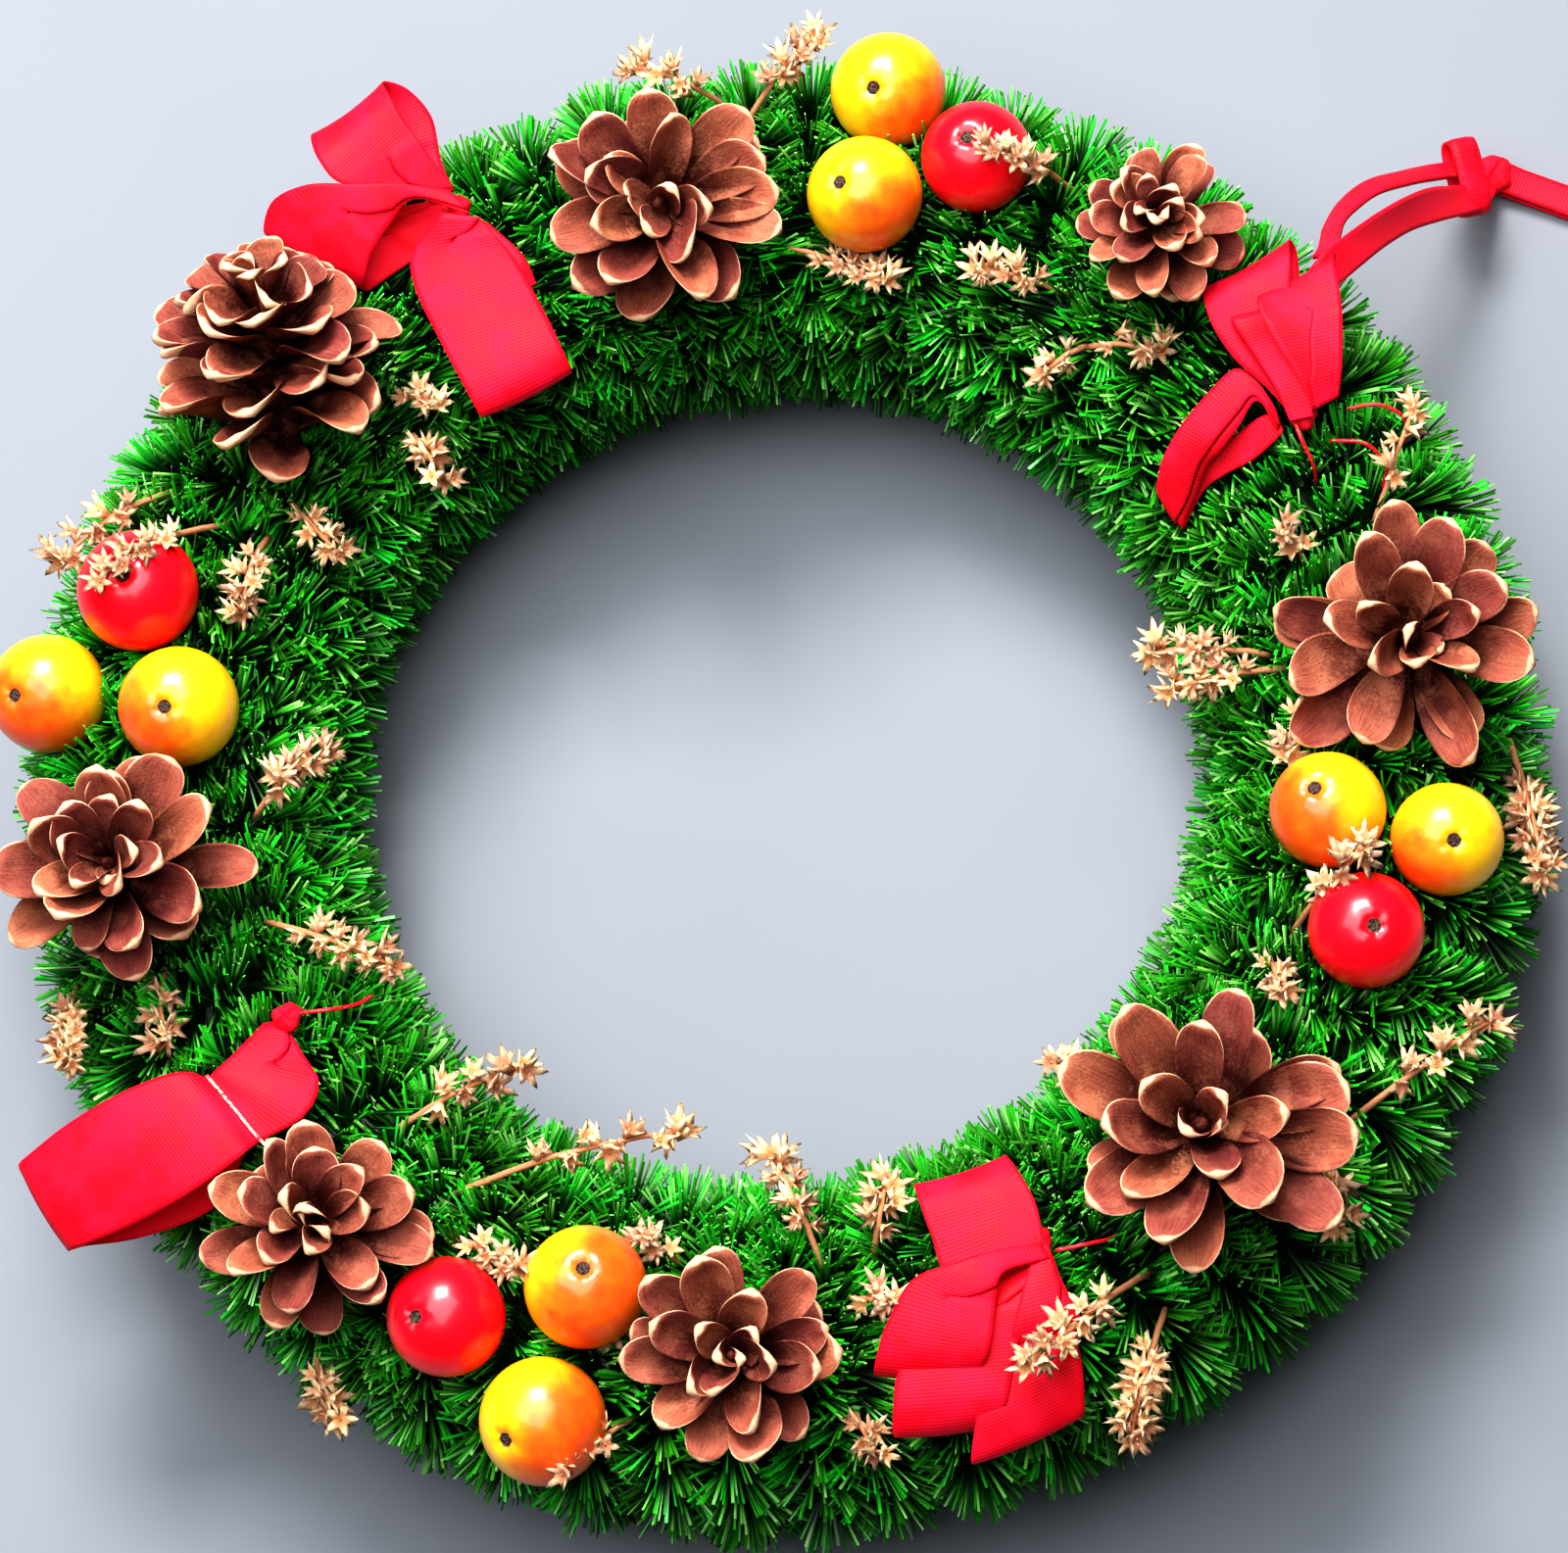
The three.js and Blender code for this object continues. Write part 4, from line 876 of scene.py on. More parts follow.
def pale_thread(g, colours):
    """Pale twisted thread: light and dark strands winding along it."""
    strands = g.noise(1500.0, 3.0)
    base = g.mix(g.spread(strands, 0.4, 0.65), (0.9, 0.55, 0.45), colours.ribbon_sheen_and_thread)
    return {"Base Color": base, "Roughness": 0.6, "Normal": bump(g, strands, 0.0001)}


def pressed_straw(g, colours):
    """Straw pressed and bound into a ring: stalks of several tones along it."""
    stalks = g.noise(240.0, 5.0, stretch=(1.0, 1.0, 6.0))
    grain = g.group(shared("Dry Grain", grain_group), Fibres=1200.0, Blotches=120.0)
    base = g.mix(g.spread(stalks, 0.35, 0.65), colours.straw, [0.45 * c for c in colours.straw])
    return {"Base Color": g.mix(0.3, base, colours.straw), "Roughness": 0.85,
            "Normal": bump(g, g.math("ADD", stalks, grain["Height"]), 0.0012)}


def studio_floor(g, colours):
    """Plain pale matte floor with a trace of unevenness."""
    soft = g.noise(6.0, 3.0)
    base = g.mix(g.spread(soft, 0.3, 0.7), colours.floor, [0.96 * c for c in colours.floor])
    return {"Base Color": base, "Roughness": 0.9, "Specular IOR Level": 0.2}


# Foliage

class Cover:
    """What the needles keep clear of: apples and cones as solids, ribbon as the lowest height over
    each cell of a square map, seen from above."""

    CELL = 1.0
    HALF = 260
    OPEN_SKY = 1e3

    def __init__(self):
        self.heights = np.full((2 * self.HALF, 2 * self.HALF), self.OPEN_SKY)
        for strips in BOW_STRIPS.values():
            for stations in strips.values():
                self.lower(stations, 80, 24)
        for strand in (NEAR_STRAND, FAR_STRAND):
            self.lower(strand, 90, 9)

    def cells(self, points):
        """The cell that each point stands in, at least one cell inside the map's edge."""
        place = np.round(points[..., :2] / self.CELL).astype(int) + self.HALF
        return np.clip(place, 1, 2 * self.HALF - 2)

    def lower(self, stations, along, across):
        """Lowers the map to points spread over a ribbon, so many along it and across, and to the
        same height in the cells round each."""
        line, _ = smooth_line(stations, along)
        points = blend(line[:, None, :3], line[:, None, 3:],
                       np.linspace(0, 1, across)[None, :, None])
        place = self.cells(points).reshape(-1, 2)
        z = points[..., 2].reshape(-1)
        for dx in (-1, 0, 1):
            for dy in (-1, 0, 1):
                np.minimum.at(self.heights, (place[:, 0] + dx, place[:, 1] + dy), z)

    def hides(self, points):
        """True where a point lies inside an apple or a cone's heart, or above the lowest ribbon
        over it."""
        place = self.cells(points)
        inside = points[..., 2] > self.heights[place[..., 0], place[..., 1]] - RIBBON_CLEARANCE
        inside |= in_apple(points, NEEDLE_CLEARANCE)
        for clock, distance, foot, radius, length, tilt, lean, *_ in CONES:
            off = points - at(clock, distance, foot)
            axis = leaning(tilt, lean)
            up = off @ axis
            out = np.linalg.norm(off - up[..., None] * axis, axis=-1)
            inside |= (up > CONE_HEART_FROM) & (up < length) & (
                out < radius * (CONE_HEART - CONE_HEART_TAPER * up / length))
        return inside


def in_apple(points, margin):
    """True where a point lies inside an apple or nearer to it than the margin."""
    inside = np.zeros(points.shape[:-1], bool)
    for clock, distance, height, radius, *_ in APPLES.values():
        inside |= np.linalg.norm(points - at(clock, distance, height), axis=-1) < radius + margin
    return inside


def needles(sizes, rng, sector, cover):
    """Needles along one length's turns of wire. The wire runs round the section while its clock
    angle grows, so turn t is at clock = start + t * pitch and section angle 360 t. Needles leave it
    in sheaves; sheaf k is fanned from straight out by an even share of the fan, its place in it
    being the golden ratio times k. A needle strays a little from its sheaf; it is a straight strip,
    cut off square. Where it would stand in something it is cut to the longest share that is clear,
    or left out."""
    count = sizes.needles_per_length
    sheaves = count // SHEAF_SIZE
    sheaf = rng.integers(0, sheaves, count)
    t = (sheaf + rng.random(count)) / sheaves * WRAPS
    waver = rng.normal(0, 1, (4, 2 * WRAPS + 2))  # the last row is only drawn, not used
    knots = np.linspace(0, WRAPS, waver.shape[1])
    aside, lifted, early = (np.interp(t, knots, row) for row in waver[:3])
    clock = LENGTH_DEG * (sector - 0.5) + t * LENGTH_DEG / WRAPS + WIRE_STRAY_DEG * aside
    around = 2 * np.pi * t + 0.15 * early
    outward_way = at(clock, 1.0, 0.0) * np.cos(around)[:, None] + UP * np.sin(around)[:, None]
    lengthwise = at(clock + 90, 1.0, 0.0)
    wireward = np.cross(lengthwise, outward_way)
    fan = np.radians(FAN_DEG * (sheaf * GOLDEN_RATIO % 1) - FAN_DEG / 2
                     + rng.normal(0, FAN_STRAY_DEG, count))
    sway = rng.normal(0, SHEAF_SWAY, sheaves)[sheaf] + rng.normal(0, NEEDLE_SWAY, count)
    way = unit(outward_way * np.cos(fan)[:, None] + lengthwise * np.sin(fan)[:, None]
               + wireward * sway[:, None])
    start = WIRE_SECTION - 1.0 + 0.5 * lifted
    root = at(clock, RING_RADIUS, RING_HEIGHT) + outward_way * start[:, None]
    length = sizes.needle_length / MM * rng.uniform(*LENGTH_SHARES, count)
    length = length * (1 + 0.06 * np.cos(fan))
    kept = np.zeros(count)
    tested = np.array(TEST_SHARES)[None, :, None]
    for share in NEEDLE_CUTS:
        reach = root[:, None] + way[:, None] * (length * share)[:, None, None] * tested
        kept = np.where(~cover.hides(reach).any(1), share, kept)
    grown = kept > 0
    root, way, sheaf = root[grown], way[grown], sheaf[grown]
    length = (length * kept)[grown, None]
    flat = unit(np.cross(way, unit(rng.normal(0, 1, way.shape))))
    edge = np.cross(way, flat)
    width = sizes.needle_width / MM * rng.uniform(*WIDTH_SHARES, len(way))[:, None]

    def ring(centre, size):
        """The three corners of the strip's flat triangular section."""
        return np.stack([centre - flat * width * 0.5 * size, centre + flat * width * 0.5 * size,
                         centre + edge * width * 0.4 * size], 1)

    points = np.concatenate([ring(root, 1.0), ring(root + way * length, 0.8)], 1)
    points[..., 2] = np.maximum(points[..., 2], TABLE_GAP + 0.2 * rng.random(points.shape[:2]))
    quads = np.array([[0, 3, 4, 1], [1, 4, 5, 2], [2, 5, 3, 0]])
    tris = np.array([[0, 1, 2], [3, 5, 4]])
    corners = points.shape[1]
    first = corners * np.arange(len(way))[:, None, None]
    tone = 0.55 * rng.random(sheaves)[sheaf] + 0.45 * rng.random(len(way))
    # painted glint: the needles that get pale tips
    pale = (rng.random(len(way)) > 1 - GLINT_SHARE) * 1.0
    along = np.tile([0.0, 0, 0, 1, 1, 1], len(way))
    faces = [(first + quads).reshape(-1, 4), (first + tris).reshape(-1, 3)]
    return outward(Shape(points, faces, tone=np.repeat(tone, corners), along=along,
                         painted_glint=np.repeat(pale, corners)))


def wound_core():
    """A ring-shaped shell whose outer radius rises in a helical ridge under each turn of wire and
    stays above the table."""
    clock = np.linspace(0, 360, 480, endpoint=False)[:, None]
    around = np.linspace(0, 2 * np.pi, 24, endpoint=False)[None, :]
    ridge = RIDGE_HEIGHT * np.cos(np.radians(clock) * LENGTHS * WRAPS - around)

    def shell(section):
        """A closed skin round the ring, at one radius or at one for each point."""
        out = at(clock, RING_RADIUS + section * np.cos(around),
                 RING_HEIGHT + section * np.sin(around))
        return lofts(out[None], closed=True)

    outer, inner = shell(CORE_SECTION + ridge), shell(HOLLOW_SECTION)
    inner.faces = [f[:, ::-1] for f in inner.faces]
    return joined([outer, inner])


# Cones

def cone(place, rng):
    """An open cone. Scale i stands at the golden angle times i; its opening from the axis, its
    reach and its foot follow i from the base to the tip. A scale's middle line starts steeper and
    its end curls a little. A scale that would meet an apple is shorter. Across, it is a tongue
    cupped like a spoon and rolled a little to one side, the more so near the cone's tip; its end is
    thick in the middle and thin at the sides, a pale crescent from the front."""
    clock, distance, foot, radius, length, tilt, lean, count, look = place
    form = CONE_FORMS[look]
    i = np.arange(count)
    f = i / (count - 1)
    turn = np.radians(GOLDEN_ANGLE_DEG) * i + rng.normal(0, TURN_STRAY, count) + rng.uniform(0, 6)
    opening = np.radians(np.interp(f, (0, 0.35, 0.65, 0.88, 1), form["opening"])
                         + rng.normal(0, 1, count) * (4.5 + 7 * f))
    reach = radius * np.interp(f, (0, 0.45, 0.8, 1), form["reach"])
    reach = reach * rng.uniform(*REACH_SPREAD, count)
    reach[:len(FIRST_REACHES)] *= FIRST_REACHES
    spindle = radius * np.interp(f, (0, 1), (0.1, 0.02))
    climb = length * np.interp(f, (0, 0.5, 1), form["foot"])
    wide = 1.06 * radius * np.interp(f, (0, 0.7, 1), form["width"])
    wide = wide * rng.uniform(*WIDTH_SPREAD, count)

    # middle lines: u runs along a scale, with more stations near its end
    u = 1 - (1 - np.linspace(0, 1, SCALE_STATIONS)[None, :]) ** 1.35
    curl = np.radians(rng.normal(form["curl"] * (1 - 2 * f), 10))[:, None]
    curl = curl * np.clip((u - 0.6) / 0.4, 0, 1)
    angle = opening[:, None] * (0.6 + 0.4 * ease(u, 0, 0.45)) + curl
    radial = np.stack([np.cos(turn), np.sin(turn), 0 * turn], -1)[:, None]
    for _ in range(SHORTENINGS):
        step = (reach - spindle)[:, None] * np.diff(u, prepend=0)
        out = spindle[:, None] + np.cumsum(np.sin(angle) * step, 1)
        up = climb[:, None] + np.cumsum(np.cos(angle) * step, 1)
        middle = out[..., None] * radial + up[..., None] * UP
        met = in_apple(standing(middle, at(clock, distance, foot), leaning(tilt, lean)),
                       SCALE_CLEARANCE)
        reach = np.where(met.any(1), SHORTER * reach, reach)
    blunt = rng.uniform(1.7, 3.0, (count, 1))
    rounding = np.sqrt(np.clip(1 - np.clip((u - ROUND_FROM) / ROUND_OVER, 0, 1) ** blunt, 0.003, 1))
    half = (wide[:, None] * (0.3 + 0.7 * ease(u, 0, 0.72)) * rounding)[..., None]
    thick = 0.28 + 0.85 * np.exp(-((u - 0.95) / 0.07) ** 2) + 0.3 * (1 - u)

    # sections: x runs across a scale from side to side, y through it, both from -1 to 1
    along = u[..., None]
    around = np.linspace(0, 2 * np.pi, SCALE_CORNERS, endpoint=False)
    x, y = (np.sign(part) * np.abs(part) ** 0.85 for part in (np.cos(around), np.sin(around)))
    level = np.stack([-np.sin(turn), np.cos(turn), 0 * turn], -1)[:, None, None]
    face = -np.cos(angle)[..., None, None] * radial[:, None] + np.sin(angle)[..., None, None] * UP
    roll = (rng.normal(0, 1, count) * (0.17 + 0.22 * f))[:, None, None, None]
    side = level * np.cos(roll) + face * np.sin(roll)
    above = face * np.cos(roll) - level * np.sin(roll)
    hollow = form["cup"] * (1 + 0.5 * f) * rng.uniform(0.7, 1.3, count)
    cup = hollow[:, None, None] * x**2 * half * (0.35 + 0.65 * np.sin(np.pi * along))
    crease = -0.16 * np.exp(-(((np.abs(x) - 0.4) / 0.2) ** 2)) * (y > 0) * ease(0.9 - along, 0, 0.2)
    twist = (rng.normal(0, 1, count) * (0.18 + 0.34 * f))[:, None, None] * x * half * along
    wave = 0.07 * half * np.sin(5 * x + rng.uniform(0, 6, (count, 1, 1))) * along
    lift = y * thick[..., None] * (1 - 0.6 * x**2) + crease + cup + twist + wave
    sway = rng.normal(0, 0.05, (count, 1)) * reach[:, None] * u**2
    across = x * half + sway[..., None]
    rings = middle[:, :, None] + side * across[..., None] + above * lift[..., None]
    end = np.where(y > 0.3, ease(along, 0.93, 1.0), ease(along, 0.8, 0.92))
    edge = ease(np.abs(x), 0.84, 0.98) * ease(along, 0.6, 0.92)
    rim = np.maximum(end, edge) + 0 * lift
    uv = np.stack(np.broadcast_arrays(0.5 + 0.5 * x + 0 * lift, along + 0 * lift), -1)
    tone = rng.random((count, 1, 1)) + 0 * lift
    scales = lofts(rings, uv=uv.reshape(-1, 2), rim=rim.ravel(), tone=tone.ravel())

    rod = np.array([[0, 0, z] for z in np.linspace(-6, 0.8 * length, 12)])
    thin = radius * np.array([0.12] * 3 + [0.13] * 4 + [0.11, 0.09, 0.07, 0.05, 0.02])
    stem = tube(rod, thin, 12, rim=0.0, tone=0.3)
    stem.marks["uv"] = np.tile([0.5, 0.0], (len(stem.points), 1))
    whole = joined([scales, stem])
    whole.points = standing(whole.points, at(clock, distance, foot), leaning(tilt, lean))
    return whole


# Apples

def apple(place, rng):
    """A near sphere: the radius dips by 13 per cent at the calyx and 6 at the other pole, and
    swells by 2 per cent at its middle. The blush grows with the angle towards its side. The calyx
    is a small dried star of five rings, sunk into the dip."""
    clock, distance, height, radius, tilt, lean, blush_clock, spread = place
    polar = np.append(np.linspace(0.015, 0.5, 12), np.linspace(0.58, np.pi - 0.02, 22))[:, None]
    turn = np.linspace(0, 2 * np.pi, 40, endpoint=False)[None, :]
    dip = 1 - 0.13 * np.exp(-((polar / 0.16) ** 2)) - 0.06 * np.exp(-(((np.pi - polar) / 0.3) ** 2))
    lobes = 1 + 0.01 * np.cos(5 * turn) * np.exp(-((polar / 0.5) ** 2)) + 0.02 * np.sin(polar) ** 2
    points = ball(radius * dip * lobes / APPLE_SWELL, polar, turn)
    from_axis = np.where(polar < 1, np.linalg.norm(points[..., :2], axis=-1), FAR_FROM_CALYX)
    skin = lofts(points[None], calyx=from_axis.ravel())

    corners = 20
    angle = np.linspace(0, 2 * np.pi, corners, endpoint=False)
    star = 1.15 + 0.3 * np.cos(5 * angle)
    rings = [np.stack([star * s * np.cos(angle), star * s * np.sin(angle),
                       0 * angle + z + 0.12 * rng.normal(0, 1, corners) * s], -1)
             for s, z in ((0.1, 0.25), (0.55, 0.5), (1.0, 0.45), (0.9, -0.1), (0.2, -0.8))]
    husk = lofts(np.array(rings)[None] + [0, 0, radius * 0.87 / APPLE_SWELL],
                 calyx=np.zeros(len(rings) * corners))
    whole = joined([skin, husk])
    whole.points = standing(whole.points, (0, 0, 0), leaning(tilt, lean))
    facing = unit(whole.points) @ leaning(BLUSH_TILT, blush_clock)
    edge = 1 - 1.6 * spread
    whole.marks["blush"] = ease(facing, edge - 0.5, edge + 0.6) * (spread > 0)
    whole.points = whole.points + at(clock, distance, height)
    return whole


# Ribbon

def lump(centre, radius, squash, rng):
    """A tied knot: a sphere whose radius swells in soft folds round and along it."""
    polar = np.linspace(0.02, np.pi - 0.02, 20)[:, None]
    turn = np.linspace(0, 2 * np.pi, 28, endpoint=False)[None, :]
    folds = (1 + 0.09 * np.sin(3 * turn + 2.0 * polar)
             + 0.06 * np.sin(5 * turn - 3 * polar + rng.uniform(0, 6)))
    points = ball(radius * folds * (1 - 0.12 * np.cos(polar) ** 2), polar, turn) * squash
    across, along = 0.004 + 0.014 * turn / (2 * np.pi), 0.012 * polar
    uv = np.stack(np.broadcast_arrays(across, along), -1)
    return lofts((points + centre)[None], uv=uv.reshape(-1, 2))


def bow(name, sizes, rng):
    """All the stretches of one bow with its tie, and the ribbon's length along them."""
    strips, length = [], 0.0
    for stations in BOW_STRIPS[name].values():
        stations = np.array(stations, float)
        middle = (stations[:, :3] + stations[:, 3:]) / 2
        length += np.linalg.norm(np.diff(middle, axis=0), axis=1).sum()
        strips.append(band(stations, BOW_STATIONS, sizes.ribbon_thickness / MM, crown=0.8,
                           pleat_at=rng.uniform(0.35, 0.7)))
    knot = lump(at(*KNOTS[name]) - UP * KNOT_SINK, *KNOT_SIZE, rng)
    return joined([*strips, knot]), length * MM


def edges(route, width):
    """Stations of a flat ribbon lying level across a route: half the width to each side of it."""
    route = np.asarray(route, float)
    along = np.gradient(route, axis=0) * [1, 1, 0]
    side = unit(np.cross(along, UP)) * width / 2
    return np.hstack([route - side, route + side])


def hanger(sizes):
    """The narrow ribbon from the bow out through the knot, round its far end and back, with its own
    middle line. The way back lies above the way out, so its edges keep their sides."""
    width = sizes.hanger_width / MM
    hook = np.array(HOOK_LOOP, float)
    out = np.vstack([NEAR_STRAND, edges(hook, width)])
    back = np.vstack([FAR_STRAND, edges(hook + UP * HANGER_RISE, width)])[::-1]
    turn = (out[-1] + back[0]) / 2 + np.tile(HANGER_TURN, 2)
    stations = np.vstack([out, turn, back])
    line, run = smooth_line(stations, HANGER_STATIONS)
    shape = band(stations, HANGER_STATIONS, HANGER_THICKNESS, crown=0.3)
    return shape, (line[:, :3] + line[:, 3:]) / 2, run[-1]


# Dried flowers

def florets(centres, ways, radii, tones, rng):
    """Five-pointed dried flowers: per petal a valley, a shoulder, the point and a shoulder,
    standing round a small cup. Rings run from the heart over the petals and the cup's wall to its
    foot. Each flower is turned by chance round its way, and the mark part is its distance from the
    heart."""
    count, corners = len(centres), 4 * PETALS
    petal = np.radians(360 / PETALS * np.repeat(np.arange(PETALS), 4)
                       + np.tile([-36, -15, 0, 15], PETALS))
    far = np.tile([0.42, 0.72, 1.0, 0.72], PETALS)
    high = np.tile([0.12, 0.42, 0.72, 0.42], PETALS)
    form = np.stack([np.stack([out * np.cos(petal), out * np.sin(petal), 0 * petal + up], -1)
                     for out, up in ((0.2, -0.12), (far, high), (0.36, -0.3), (0.12, -1.1))])
    bent = form[None] * np.ones((count, 1, 1, 1))
    bent[:, 1, :, 2] += rng.normal(0, 0.1, (count, corners))
    spin = rng.uniform(0, 2 * np.pi, count)
    helper = unit(np.cross(ways, [0.3, 0.5, 0.81]))
    side = helper * np.cos(spin)[:, None] + np.cross(ways, helper) * np.sin(spin)[:, None]
    frames = np.stack([side, np.cross(ways, side), ways], 1)
    rings = np.einsum("sijk,skl->sijl", bent, frames) * radii[:, None, None, None]
    rings += centres[:, None, None]
    part = np.stack([0 * far + value for value in (0.3, far, 0.55, 0.2)])
    return lofts(rings, part=np.tile(part.ravel(), count), tone=np.repeat(tones, part.size))


def sprig(foot, tip, arch, count, rng):
    """A forked twig from foot to tip, raised by an arch, with florets on short side twigs along its
    outer two thirds. Side twigs leave to alternate sides, a little up and forward. Under most
    florets sits a smaller one that looks the other way."""
    start, end = at(*foot), at(*tip)
    s = np.linspace(0, 1, 12)[:, None]
    line = start + (end - start) * s + UP * arch * 4 * s * (1 - s)
    line += np.cumsum(rng.normal(0, 0.12, line.shape), 0)
    parts = [tube(line, np.linspace(*TWIG_RADII, len(s)), 6, part=0.0, tone=0.5)]
    place = np.append(np.linspace(0.38, 0.95, max(count - 1, 1)), 1.0)[-count:]
    on = np.stack([np.interp(place, s[:, 0], column) for column in line.T], -1)
    along = unit(end - start)
    across = unit(np.cross(along, UP))
    sides = np.where(np.arange(count) % 2, 1.0, -1.0) * rng.uniform(0.5, 1.1, count)
    up = UP * rng.uniform(0.2, 0.9, (count, 1))
    way = unit(along * 0.7 + across * sides[:, None] + up)
    way[-1] = unit(along + [0, 0, 0.5])
    reach = rng.uniform(2.2, 4.4, count)
    reach[-1] = 0.6
    ends = on + way * reach[:, None]
    for a, b in zip(on, ends):
        parts.append(tube(np.linspace(a, b, 3), SIDE_TWIG_RADIUS, 4, part=0.0, tone=0.6))
    open_way = unit(way + rng.normal(0, 0.3, way.shape) + [0, 0, 0.5])
    radii = rng.uniform(*FLORET_RADII, count)
    parts.append(florets(ends, open_way, radii, rng.random(count), rng))
    low = rng.random(count) < LOW_FLORET_SHARE
    if low.any():
        below = on[low] - way[low] * [1, 1, -0.6] * 2.4
        parts.append(florets(below, unit(-way[low] * [1, 1, -1.6]), radii[low] * 0.85,
                             rng.random(low.sum()), rng))
    return joined(parts)


# Settings

def length_setting(name, description, default, low, high):
    """A length in metres between two limits."""
    return bpy.props.FloatProperty(name=name, description=description, default=default, min=low,
                                   max=high, unit="LENGTH", subtype="DISTANCE")


def colour_setting(name, description, default):
    """A colour by its red, green and blue, as light is measured."""
    return bpy.props.FloatVectorProperty(name=name, description=description, default=default,
                                         size=3, min=0.0, max=1.0, subtype="COLOR")


class WreathSizes(bpy.types.PropertyGroup):
    """Sizes, numbers and the seed that can be set in the panel"""
    needle_length: length_setting(
        "Needle Length", "Length of one needle from the wire", 0.0135, 0.006, 0.015)
    needle_width: length_setting("Needle Width", "Width of one needle", 0.00072, 0.0003, 0.0015)
    needles_per_length: bpy.props.IntProperty(
        name="Needles per Length", description="Needles on each twelfth of the garland",
        default=6000, min=200, max=7000)
    ribbon_thickness: length_setting(
        "Ribbon Thickness", "Thickness of the bows' ribbon", 0.0003, 0.0002, 0.0012)
    hanger_width: length_setting(
        "Hanger Width", "Width of the hanging ribbon", 0.0065, 0.003, 0.008)
    twig_seed: bpy.props.IntProperty(
        name="Variation", default=7, min=0, max=999,
        description="Seed of the small differences between needles, scales and twigs")


class WreathColours(bpy.types.PropertyGroup):
    """Colours that can be set in the panel"""
    # painted shade near the wire and low on the ring, also the colour of the core
    needle_root_shade: colour_setting("Needle Root", "Needle colour near the wire", (0.002, 0.024, 0.002))
    needle_fresh: colour_setting("Needle", "Needle colour outside", (0.045, 0.42, 0.022))
    # painted glint on the pale needle tips
    needle_glint: colour_setting("Needle Tip", "Colour of the palest tips", (0.33, 0.74, 0.2))
    # painted shade at the scales' feet, also the colour of their darker fibres
    cone_foot_shade_and_fibres: colour_setting("Scale Foot", "Cone scale colour near the middle",
                              (0.05, 0.006, 0.004))
    cone_face: colour_setting("Scale Face", "Cone scale colour", (0.37, 0.1, 0.066))
    cone_warm: colour_setting("Scale Blotch", "Warm blotches on cone scales", (0.45, 0.17, 0.1))
    cone_lip: colour_setting("Scale Lip", "Pale thick lip of cone scales", (0.74, 0.46, 0.29))
    apple_yellow: colour_setting("Apple Yellow", "Skin of the yellow apples", (0.95, 0.54, 0.012))
    apple_blush: colour_setting("Apple Blush", "Blush on the yellow apples", (0.88, 0.11, 0.012))
    apple_red: colour_setting("Apple Red", "Skin of the red apples", (0.95, 0.005, 0.02))
    ribbon: colour_setting("Ribbon", "Ribbon of the bows and the hanger", (0.79, 0.004, 0.022))
    # painted sheen on the ribbon, also the light strands of the pale thread
    ribbon_sheen_and_thread: colour_setting("Ribbon Sheen", "Lighter areas of the ribbon",
                                 (0.85, 0.009, 0.046))
    twig: colour_setting("Twig", "Dried twigs", (0.55, 0.24, 0.12))
    floret_heart: colour_setting("Floret Heart", "Middle of the dried florets", (0.5, 0.22, 0.1))
    floret_tip: colour_setting("Floret Tip", "Petal tips of the dried florets", (0.94, 0.7, 0.44))
    straw: colour_setting("Straw", "The ring inside the garland", (0.56, 0.4, 0.17))
    floor: colour_setting("Floor", "The plain floor", (0.22, 0.233, 0.256))


# First seed of each kind of piece, counted on from there
SEEDS = {"hanger": 1, "bow": 20, "cone": 40, "apple": 60, "sprig": 100, "needles": 900}


def seeded(scene, kind, number=0):
    """Random numbers for one piece: the seed is 1000 times the panel's, its kind's and its own
    number."""
    return np.random.default_rng(1000 * scene.wreath_sizes.twig_seed + SEEDS[kind] + number)


# Operators

